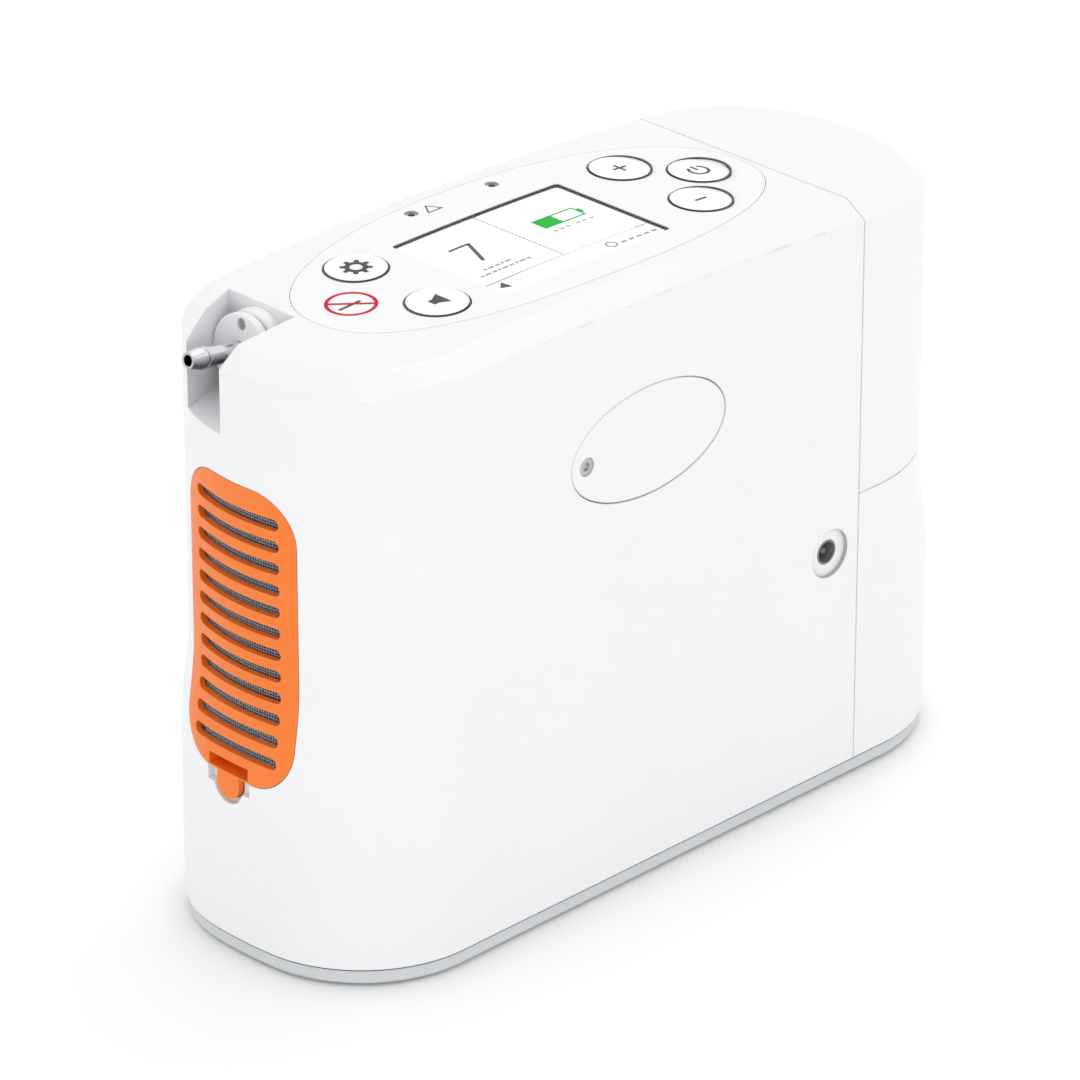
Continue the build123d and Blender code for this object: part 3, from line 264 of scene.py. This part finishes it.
def circuit():
    """Green solder mask with traces in a fine grid."""
    material, tree, shader = new_material("circuit", (0.02, 0.16, 0.07), 0.4)
    bricks = tree.nodes.new("ShaderNodeTexBrick")
    bricks.inputs["Scale"].default_value = 160.0
    bricks.inputs["Mortar Size"].default_value = 0.03
    bricks.inputs["Color1"].default_value = (0.015, 0.13, 0.06, 1.0)
    bricks.inputs["Color2"].default_value = (0.02, 0.18, 0.08, 1.0)
    bricks.inputs["Mortar"].default_value = (0.06, 0.32, 0.14, 1.0)
    tree.links.new(coordinates(tree), bricks.inputs["Vector"])
    tree.links.new(bricks.outputs["Color"], shader.inputs["Base Color"])
    bump(tree, shader, bricks.outputs["Fac"], 0.00003)
    return material


def winding():
    """Copper turns laid side by side, with painted shade in the grooves between them."""
    material, tree, shader = new_material("winding", (0.50, 0.19, 0.07), 0.35, 0.6)
    turns = tree.nodes.new("ShaderNodeTexWave")
    turns.bands_direction = "X"
    turns.inputs["Scale"].default_value = 260.0
    tree.links.new(coordinates(tree), turns.inputs["Vector"])
    # Painted shade: darker in the grooves between the turns.
    tree.links.new(
        mix_colors(tree, turns.outputs["Fac"], (0.22, 0.07, 0.03), (0.62, 0.27, 0.11)),
        shader.inputs["Base Color"],
    )
    bump(tree, shader, turns.outputs["Fac"], 0.0002)
    return material


def clear_window():
    """Thin clear sheet: the screen shows through, with a soft gloss of its own."""
    material, tree, shader = new_material("window", (0.95, 0.97, 0.98), 0.06)
    shader.inputs["Alpha"].default_value = 0.02
    shader.inputs["Specular IOR Level"].default_value = 0.3
    shader.inputs["IOR"].default_value = 1.45
    smears = noise(tree, coordinates(tree), 220.0)
    tree.links.new(spread(tree, smears, 0.04, 0.09), shader.inputs["Roughness"])
    return material


def display_panel():
    """Lit screen: a pale glow with a very fine pixel grid."""
    material, tree, shader = new_material("display", (0.90, 0.92, 0.92), 0.35)
    grid = tree.nodes.new("ShaderNodeTexChecker")
    grid.inputs["Scale"].default_value = 5000.0
    grid.inputs["Color1"].default_value = (0.93, 0.95, 0.95, 1.0)
    grid.inputs["Color2"].default_value = (0.89, 0.91, 0.92, 1.0)
    tree.links.new(coordinates(tree), grid.inputs["Vector"])
    tree.links.new(grid.outputs["Color"], shader.inputs["Base Color"])
    shader.inputs["Emission Color"].default_value = (0.95, 0.98, 1.0, 1.0)
    shader.inputs["Emission Strength"].default_value = 0.25
    return material


def key_cap():
    """White key cap, with painted shade on its upright skirt."""
    material, tree, shader = new_material("button_white", (0.86, 0.87, 0.88), 0.3)
    patches = noise(tree, coordinates(tree), 38.0)
    white = mix_colors(tree, patches, (0.85, 0.86, 0.87), (0.87, 0.88, 0.89))
    # Painted shade: the upright skirt, seen in the gap round the key, is made dark.
    white_with_painted_skirt_shade = mix_colors(tree, upward(tree, 0.5, 0.7), (0.07, 0.07, 0.075), white)
    tree.links.new(white_with_painted_skirt_shade, shader.inputs["Base Color"])
    bump(tree, shader, noise(tree, coordinates(tree), 2800.0), 0.000006)
    return material


def lamp_lens():
    """Frosted light guide with a faint glow of its own."""
    material, tree, shader = new_material("light_pipe", (0.80, 0.82, 0.82), 0.35)
    cloud = noise(tree, coordinates(tree), 900.0)
    tree.links.new(
        mix_colors(tree, cloud, (0.74, 0.76, 0.76), (0.84, 0.86, 0.86)),
        shader.inputs["Base Color"],
    )
    bump(tree, shader, cloud, 0.00001)
    shader.inputs["Emission Color"].default_value = (0.95, 0.97, 1.0, 1.0)
    shader.inputs["Emission Strength"].default_value = 0.25
    return material


def printed(name, color, index=1.5):
    """Screen-printed ink: slightly uneven, matt, and without gloss where its index is 1."""
    material, tree, shader = new_material(name, color, 0.5)
    shader.inputs["IOR"].default_value = index
    speckle = noise(tree, coordinates(tree), 4000.0)
    thin = tuple(min(1.0, channel + 0.03) for channel in color)
    tree.links.new(
        mix_colors(tree, spread(tree, speckle, 0.0, 1.0), color, thin),
        shader.inputs["Base Color"],
    )
    bump(tree, shader, speckle, 0.000004)
    return material


WHITE = (0.80, 0.805, 0.82)
ORANGE = (0.857, 0.18, 0.008)
materials = {
    "white_shell": moulded(
        "white_shell",
        WHITE,
        0.34,
        depth=0.000008,
        tone=0.006,
        worn=(0.84, 0.845, 0.85),
        coat=0.15,
        soft=RIM_SOFTNESS,
    ),
    "base_grey": moulded(
        "base_grey", (0.60, 0.62, 0.63), 0.5, grain=2200.0, worn=(0.68, 0.70, 0.71)
    ),
    "orange_plastic": moulded(
        "orange_plastic", ORANGE, 0.42, 2400.0, 0.00001, 0.015, worn=(0.88, 0.25, 0.05)
    ),
    "wire_mesh": metal("wire_mesh", (0.46, 0.52, 0.58), 0.42),
    "filter_foam": foam(),
    "panel_film": moulded("panel_film", (0.81, 0.825, 0.835), 0.28, 3200.0, 0.000005, 0.003),
    "button_white": key_cap(),
    "window": clear_window(),
    "display": display_panel(),
    "light_pipe": lamp_lens(),
    "chrome": polished(),
    "black_plastic": moulded("black_plastic", (0.022, 0.022, 0.025), 0.45),
    "rubber": moulded("rubber", (0.03, 0.03, 0.03), 0.8, 1400.0, 0.00004, 0.1),
    "steel": metal("steel", (0.50, 0.51, 0.52), 0.28, (1.0, 8.0, 1.0)),
    "aluminium": metal("aluminium", (0.68, 0.69, 0.71), 0.33, (1.0, 1.0, 9.0)),
    "brass": metal("brass", (0.75, 0.52, 0.22), 0.25, (1.0, 6.0, 1.0)),
    "circuit": circuit(),
    "winding": winding(),
    "cell_wrap": moulded("cell_wrap", (0.04, 0.22, 0.50), 0.25, 900.0, tone=0.03, coat=0.4),
    "silicone": moulded("silicone", (0.72, 0.74, 0.73), 0.4, 700.0, 0.00001, 0.03),
    "inner_plastic": moulded("inner_plastic", (0.52, 0.53, 0.54), 0.55, 1800.0, 0.00003, 0.03),
    "dark_print": printed("dark_print", (0.018, 0.018, 0.02)),
    "grey_print": printed("grey_print", (0.30, 0.30, 0.31)),
    "pale_print": printed("pale_print", (0.50, 0.50, 0.52), 1.0),
    "red_print": printed("red_print", (0.58, 0.02, 0.05), 1.0),
    "green_print": printed("green_print", (0.0, 0.42, 0.03), 1.0),
    "socket_grey": moulded("socket_grey", (0.20, 0.20, 0.205), 0.5),
    "socket_pin": metal("socket_pin", (0.16, 0.16, 0.165), 0.4),
    # Painted shade on the walls of the indicator holes and of the inlet's dished seat.
    "rim_shade_grey": moulded("rim_shade_grey", (0.42, 0.43, 0.44), 0.5),
    # Painted shade for the gaps round the keys and over the base plate.
    "gap_shade_dark": moulded("gap_shade_dark", (0.06, 0.06, 0.065), 0.6),
}
own_finish = {"dc_jack": "socket_grey", "dc_jack_pin": "socket_pin"}
for part in frame["record"]["subparts"]:
    finish = nodes[part["node"]]
    finish.data.materials.clear()
    chosen = own_finish.get(part["node"], part["material_slot"])
    finish.data.materials.append(materials[chosen])

# ---- Printed shapes -----------------------------------------------------------------------


def surface_of(node):
    """Collision tree of a CAD node, for laying a print on it."""
    mesh = bmesh.new()
    mesh.from_mesh(nodes[node].data)
    tree = BVHTree.FromBMesh(mesh)
    mesh.free()
    return tree


def stepped(loop, longest=1.5):
    """The same outline with extra points on its long sides, so that it can follow a curve."""
    points = []
    for (x0, y0), (x1, y1) in zip(loop, loop[1:] + loop[:1]):
        pieces = max(1, math.ceil(math.hypot(x1 - x0, y1 - y0) / longest))
        for step in range(pieces):
            share = step / pieces
            points.append((x0 + (x1 - x0) * share, y0 + (y1 - y0) * share))
    return points


def lay_print(name, node, loops, material, thickness=INK):
    """A thin print on the upper face of a node. Loops are closed outlines in millimetres."""
    curve = bpy.data.curves.new(name, "CURVE")
    curve.dimensions = "2D"
    curve.fill_mode = "BOTH"
    curve.extrude = thickness / 2 * MM
    for loop in map(stepped, loops):
        spline = curve.splines.new("POLY")
        spline.points.add(len(loop) - 1)
        for point, (x, y) in zip(spline.points, loop):
            point.co = (x * MM, y * MM, 0.0, 1.0)
        spline.use_cyclic_u = True
    holder = bpy.data.objects.new(name + "_curve", curve)
    mesh = bpy.data.meshes.new_from_object(holder)
    bpy.data.objects.remove(holder)
    target = surface_of(node)
    for vertex in mesh.vertices:
        above = Vector((vertex.co.x, vertex.co.y, 1.0))
        hit = target.ray_cast(above, Vector((0, 0, -1)))[0]
        ground = hit.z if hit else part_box(node)[1].z
        vertex.co.z += ground + thickness / 2 * MM
    mesh.name = name
    piece = bpy.data.objects.new(name, mesh)
    bpy.context.scene.collection.objects.link(piece)
    mesh.materials.append(materials[material])
    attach(piece, nodes[node]["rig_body"])


def circle(x, y, radius, count=64, start=0.0, stop=360.0):
    """Points round a circle or part of one."""
    whole = stop - start >= 360.0
    steps = count if whole else count - 1
    angles = [math.radians(start + (stop - start) * step / steps) for step in range(count)]
    return [(x + radius * math.cos(angle), y + radius * math.sin(angle)) for angle in angles]


def box_loop(x0, x1, y0, y1):
    """Corners of a rectangle."""
    return [(x0, y0), (x1, y0), (x1, y1), (x0, y1)]


def ring_part(x, y, outer, inner, start, stop):
    """Closed outline of part of a ring."""
    return circle(x, y, outer, 40, start, stop) + circle(x, y, inner, 40, start, stop)[::-1]


def bar(x0, y0, x1, y1, width):
    """Closed outline of a straight stroke."""
    run = Vector((x1 - x0, y1 - y0)).normalized() * width / 2
    side = Vector((-run.y, run.x))
    corners = [
        Vector((x0, y0)) - side,
        Vector((x1, y1)) - side,
        Vector((x1, y1)) + side,
        Vector((x0, y0)) + side,
    ]
    return [tuple(corner) for corner in corners]


def gear(x, y, outer, root, teeth=8):
    """Outline of a gear with tapered teeth."""
    points = []
    pitch = 2 * math.pi / teeth
    for tooth in range(teeth):
        middle = tooth * pitch
        for share, radius in ((-0.30, root), (-0.17, outer), (0.17, outer), (0.30, root)):
            angle = middle + share * pitch
            points.append((x + radius * math.cos(angle), y + radius * math.sin(angle)))
    return points


def middle_of(node):
    """Centre of a node in plan, in millimetres."""
    low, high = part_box(node)
    return (low.x + high.x) / 2 / MM, (low.y + high.y) / 2 / MM


def key_symbols():
    """Outlines of the pictograms, in millimetres from the middle of their keys."""
    arm, half = 2.15, 0.38
    cross = [
        (-arm, -half), (-half, -half), (-half, -arm), (half, -arm), (half, -half), (arm, -half),
        (arm, half), (half, half), (half, arm), (-half, arm), (-half, half), (-arm, half),
    ]
    speaker = [(-1.7, -0.9), (-0.3, -0.9), (2.4, -2.4), (2.4, 3.2), (-0.3, 1.6), (-1.7, 1.6)]
    return {
        "settings": [gear(0.0, 0.0, 4.0, 2.9), circle(0.0, 0.0, 1.6)],
        "mute": [speaker],
        "plus": [cross],
        "minus": [box_loop(-1.9, 1.9, -half, half)],
        "power": [ring_part(0.0, 0.0, 2.9, 2.15, 122, 418), box_loop(-0.36, 0.36, 0.2, 2.9)],
    }


def key_prints():
    """The pictograms on the five keys."""
    for key, symbol in key_symbols().items():
        node = key + "_button"
        x, y = middle_of(node)
        loops = [[(x + px, y + py) for px, py in loop] for loop in symbol]
        lay_print(key + "_symbol", node, loops, "dark_print")


# ---- Painted shade in gaps and hollows, and pale seam strips ------------------------------


def own_mesh(name, mesh, material, body):
    """Turns a finished bmesh into a piece that rides a body."""
    bmesh.ops.recalc_face_normals(mesh, faces=mesh.faces)
    data = bpy.data.meshes.new(name)
    mesh.to_mesh(data)
    mesh.free()
    data.materials.append(materials[material])
    piece = bpy.data.objects.new(name, data)
    bpy.context.scene.collection.objects.link(piece)
    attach(piece, body)
    return piece


def band_piece(name, inner, outer, low, high, material="gap_shade_dark", axis="Z"):
    """A closed band between two outlines and two levels along an axis, all in millimetres."""
    mesh = bmesh.new()

    def corner(x, y, level):
        places = {"Z": (x, y, level), "Y": (x, level, y), "X": (level, x, y)}
        return mesh.verts.new(Vector(places[axis]) * MM)

    rings = [
        [corner(x, y, z) for x, y in outline]
        for outline, z in ((inner, low), (inner, high), (outer, high), (outer, low))
    ]
    count = len(inner)
    for first, second in zip(rings, rings[1:] + rings[:1]):
        for step in range(count):
            following = (step + 1) % count
            mesh.faces.new((first[step], first[following], second[following], second[step]))
    own_mesh(name, mesh, material, "case")


def key_gap_shades():
    """Painted shade: a dark band in the gap round each key, a little below the panel."""
    for key in KEYS:
        x, y = middle_of(key + "_button")
        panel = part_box(key + "_button")[1].z / MM - KEY_PROUD
        inner = circle(x, y, KEY_RADIUS + 0.04, 96)
        outer = circle(x, y, KEY_HOLE_RADIUS - 0.04, 96)
        low, high = panel - 0.6, panel - 0.22
        band_piece(key + "_gap_shade", inner, outer, low, high)


def lamps():
    """Painted shade on the wall of each indicator hole, and the dark chip seen in its lens."""
    surface = surface_of("control_overlay")
    for index, (x, y) in enumerate(LAMPS):
        beside = Vector(((x + 3.0) * MM, y * MM, 1.0))
        panel = surface.ray_cast(beside, Vector((0, 0, -1)))[0].z / MM
        inner = circle(x, y, LAMP_LENS_RADIUS, 48)
        outer = circle(x, y, LAMP_HOLE_RADIUS - 0.02, 48)
        low, high = panel - LAMP_DROP + 0.05, panel - 0.08
        name = f"lamp_wall_shade_{index}"
        band_piece(name, inner, outer, low, high, "rim_shade_grey")
        chip = [circle(x + CHIP_OFFSET, y + CHIP_OFFSET, CHIP_RADIUS, 32)]
        lay_print(f"lamp_chip_{index}", "led_light_pipes", chip, "dark_print")


def rim_outline(rim):
    """Outline round some points given in metres, as a list in millimetres."""
    return [rim[index] / MM for index in convex_hull_2d(rim)]


def moved(outline, amount):
    """An outline moved outwards, or inwards where the amount is negative."""
    points = []
    for index, point in enumerate(outline):
        along = (outline[(index + 1) % len(outline)] - outline[index - 1]).normalized()
        points.append(tuple(point + Vector((along.y, -along.x)) * amount))
    return points


def base_gap_shade():
    """Painted shade: a dark band in the gap between the base plate and the shells."""
    near, inwards, outwards = 0.5 * MM, -1.5, 0.35
    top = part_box("base_plate")[1].z
    plate = nodes["base_plate"].data.vertices
    outline = rim_outline([vertex.co.xy for vertex in plate if vertex.co.z > top - near])
    inner, outer = moved(outline, inwards), moved(outline, outwards)
    band_piece("base_gap_shade", inner, outer, top / MM, top / MM + BASE_SEAM)


def rear_seams():
    """Pale strips that close the seams of the rear block a little below their surface."""
    near, deep, shallow = 0.1 * MM, -1.6, -0.5
    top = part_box("rear_lower_cover")[1].z
    cover = nodes["rear_lower_cover"].data.vertices
    level = rim_outline([vertex.co.xy for vertex in cover if vertex.co.z > top - near])
    inner, outer = moved(level, deep), moved(level, shallow)
    low, high = top / MM + 0.01, top / MM + REAR_SEAM - 0.02
    band_piece("cover_seam_strip", inner, outer, low, high, "white_shell")
    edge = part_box("main_housing")[1].x
    shell = nodes["main_housing"].data.vertices
    face = rim_outline([vertex.co.yz for vertex in shell if vertex.co.x > edge - near])
    inner, outer = moved(face, deep), moved(face, shallow)
    low, high = edge / MM + 0.01, edge / MM + REAR_SEAM - 0.03
    name = "rear_seam_strip"
    band_piece(name, inner, outer, low, high, "white_shell", "X")


def inlet_rim_shade():
    """Painted shade as a grey band round the dished seat of the power inlet."""
    low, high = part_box("dc_jack_pin")
    x, z = (low.x + high.x) / 2 / MM, (low.z + high.z) / 2 / MM
    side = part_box("main_housing")[0].y / MM
    inner, outer = circle(x, z, DISH_RADIUS - 0.1, 96), circle(x, z, DISH_RADIUS - 0.01, 96)
    low, high = side + 0.1, side + DISH_DEPTH - 0.05
    band_piece("inlet_rim_shade", inner, outer, low, high, "rim_shade_grey", "Y")


# ---- Marks on the panel and the screen ----------------------------------------------------


def panel_prints():
    """Generic marks on the control panel; the sign's slash lies over its bar."""
    sign_x, sign_y, sign_r, stroke = -71.0, 0.8, 6.45, 0.9
    reach = (sign_r - 0.5) * math.sqrt(0.5)
    ring = [circle(sign_x, sign_y, sign_r), circle(sign_x, sign_y, sign_r - 0.95)]
    across = [bar(sign_x - 4.3, sign_y - 0.4, sign_x + 2.6, sign_y - 0.4, stroke)]
    slash = [bar(sign_x - reach, sign_y + reach, sign_x + reach, sign_y - reach, stroke)]
    tri_x, tri_y = -19.8, 26.4
    triangle = [
        [(tri_x - 2.6, tri_y - 1.9), (tri_x + 2.6, tri_y - 1.9), (tri_x, tri_y + 2.1)],
        [(tri_x - 1.9, tri_y - 1.5), (tri_x + 1.9, tri_y - 1.5), (tri_x, tri_y + 1.4)],
    ]
    marks = (
        ("prohibition_ring", ring, "red_print", INK),
        ("prohibited_bar", across, "dark_print", INK - 0.01),
        ("prohibition_slash", slash, "red_print", INK + 0.01),
        ("alert_symbol", triangle, "dark_print", INK),
    )
    for name, loops, ink, thickness in marks:
        lay_print(name, "control_overlay", loops, ink, thickness)


def screen_graphics():
    """What the lit screen shows: a flow setting, a battery gauge and plain bars for text."""

    def show(name, loops, ink):
        lay_print(name, "display_module", loops, ink, SCREEN_INK)

    show("screen_divider", [box_loop(-15.3, -14.8, -14.2, 16.2)], "pale_print")
    show("screen_footer_line", [box_loop(-41.2, 13.2, -14.7, -14.2)], "pale_print")
    left, top, stroke = -33.5, 6.5, 0.8
    seven = [
        (left, top),
        (left + 6.9, top),
        (left + 6.9, top - stroke),
        (left + 2.9, top - 10.0),
        (left + 1.9, top - 9.7),
        (left + 5.8, top - stroke),
        (left, top - stroke),
    ]
    show("flow_setting_digit", [seven], "dark_print")
    rows = (("flow_text_bars", -35.1, -25.1, -7.55), ("unit_text_bars", -38.3, -21.5, -9.9))
    for name, start, stop, y in rows:
        bars = []
        x = start
        while x + 1.2 < stop:
            width = 0.9 + 0.5 * (len(bars) * 2 % 3)
            bars.append(box_loop(x, x + width, y - 0.4, y + 0.4))
            x += width + 0.5
        show(name, bars, "grey_print")
    left, right, low, high, line = -7.0, 6.9, -0.5, 4.8, 0.5
    full = left + 6.3
    outline = box_loop(left, right, low, high)
    inside = box_loop(full, right - line, low + line, high - line)
    show("battery_gauge", [outline, inside], "green_print")
    show("battery_cap", [box_loop(right, right + 0.9, low + 1.5, high - 1.5)], "green_print")
    bars = [box_loop(x, x + 1.5, -3.4, -2.5) for x in (-6.8, -4.7, -2.6, 0.8, 2.9, 5.4)]
    show("battery_text_bars", bars, "pale_print")
    show("arrow_mark", [[(-37.2, -15.3), (-39.6, -17.6), (-36.8, -18.9)]], "dark_print")
    ring = [circle(-2.3, -18.0, radius) for radius in (1.7, 1.1)]
    show("plain_ring_mark", ring, "grey_print")
    dashes = [box_loop(x, x + 1.7, -19.1, -18.2) for x in (0.4, 3.0, 5.6, 8.2, 10.8)]
    show("plain_dash_row", dashes, "grey_print")


# ---- Woven intake mesh --------------------------------------------------------------------


def wire(mesh, points, radius, sides=4):
    """Adds one wire with closed ends to a mesh, through points given with their normals."""
    loops = []
    for index, (centre, normal) in enumerate(points):
        ahead = points[min(index + 1, len(points) - 1)][0]
        behind = points[max(index - 1, 0)][0]
        along = (ahead - behind).normalized()
        side = along.cross(normal).normalized()
        out = side.cross(along).normalized()
        turns = [2 * math.pi * step / sides for step in range(sides)]
        rim = [side * math.cos(turn) + out * math.sin(turn) for turn in turns]
        loops.append([mesh.verts.new(centre + spoke * radius) for spoke in rim])
    for first, second in zip(loops, loops[1:]):
        for step in range(sides):
            following = (step + 1) % sides
            mesh.faces.new((first[step], first[following], second[following], second[step]))
    mesh.faces.new(loops[0][::-1])
    mesh.faces.new(loops[-1])


def woven_mesh(pitch=0.8 * MM, radius=0.15 * MM, sheet=0.5 * MM):
    """Wires woven over and under each other, following the curved front."""
    low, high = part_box("intake_mesh")
    surface = surface_of("intake_mesh")
    margin = 0.4 * MM
    columns = int((high.y - low.y - 2 * margin) / pitch)
    rows = int((high.z - low.z - 2 * margin) / pitch)
    y_start = (low.y + high.y - columns * pitch) / 2
    z_start = (low.z + high.z - rows * pitch) / 2
    mesh = bmesh.new()

    def weave(places, sign):
        """One wire through places in the front view, over and under in turn."""
        points = []
        for index, (y, z) in enumerate(places):
            hit, normal = surface.ray_cast(Vector((low.x - 0.05, y, z)), Vector((1, 0, 0)))[:2]
            if hit:
                side = sign if index % 2 else -sign
                points.append((hit + normal * (side * radius * 0.9 - sheet / 2), normal))
        if len(points) > 2:
            wire(mesh, points, radius)

    heights = [z_start + row * pitch for row in range(rows + 1)]
    widths = [y_start + column * pitch for column in range(columns + 1)]
    for row, z in enumerate(heights):
        weave([(y, z) for y in widths], 1 if row % 2 else -1)
    for column, y in enumerate(widths):
        weave([(y, z) for z in heights], -1 if column % 2 else 1)
    piece = own_mesh("woven_intake_mesh", mesh, "wire_mesh", "grille")
    piece.data.shade_smooth()
    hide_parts("intake_mesh")


# ---- Studio -------------------------------------------------------------------------------


def floor():
    """A plain pale floor, just under the feet."""
    mesh = bmesh.new()
    reach, height = 6.0, -0.2 * MM
    places = ((-reach, -reach), (reach, -reach), (reach, reach), (-reach, reach))
    mesh.faces.new([mesh.verts.new((x, y, height)) for x, y in places])
    data = bpy.data.meshes.new("floor")
    mesh.to_mesh(data)
    mesh.free()
    data.materials.append(new_material("floor_white", (0.96, 0.96, 0.965), 0.7)[0])
    piece = bpy.data.objects.new("floor", data)
    bpy.context.scene.collection.objects.link(piece)


def area_light(name, place, target, size, power):
    """A soft round light."""
    data = bpy.data.lights.new(name, "AREA")
    data.shape = "DISK"
    data.size = size
    data.energy = power
    light = bpy.data.objects.new(name, data)
    light.visible_camera = False
    light.location = place
    light.rotation_euler = (Vector(target) - Vector(place)).to_track_quat("-Z", "Y").to_euler()
    bpy.context.scene.collection.objects.link(light)


def studio():
    """A white surround, three soft lights and the floor."""
    world = bpy.data.worlds.new("studio")
    bpy.context.scene.world = world
    world.use_nodes = True
    background = world.node_tree.nodes["Background"]
    background.inputs["Color"].default_value = (1.0, 1.0, 1.0, 1.0)
    background.inputs["Strength"].default_value = SKY_STRENGTH
    target = (0.0, 0.0, 0.08)
    area_light("key_light", (1.3, -1.5, 1.0), target, 0.8, KEY_POWER)
    area_light("front_light", (-1.35, -1.35, 0.4), target, 0.5, FRONT_POWER)
    area_light("top_light", (0.7, 0.2, 1.8), target, 1.2, TOP_POWER)
    floor()
    bpy.context.scene.view_settings.view_transform = "Standard"


def camera():
    """A long lens from the front left, above the top."""
    azimuth, elevation = math.radians(-45.15), math.radians(26.40)
    distance = 1.77079
    target = Vector((-8.61, 0.0, 77.05)) * MM
    back = Vector(
        (
            math.sin(azimuth) * math.cos(elevation),
            -math.cos(azimuth) * math.cos(elevation),
            math.sin(elevation),
        )
    )
    data = bpy.data.cameras.new("camera")
    data.sensor_width = 36.0
    data.lens = 239.39
    data.clip_end = 20.0
    piece = bpy.data.objects.new("camera", data)
    piece.location = target + back * distance
    piece.rotation_mode = "QUATERNION"
    piece.rotation_quaternion = (-back).to_track_quat("-Z", "Y")
    bpy.context.scene.collection.objects.link(piece)
    bpy.context.scene.camera = piece


# ---- Everything made, in order ------------------------------------------------------------

key_prints()
key_gap_shades()
lamps()
base_gap_shade()
rear_seams()
inlet_rim_shade()
panel_prints()
screen_graphics()
woven_mesh()
studio()
camera()
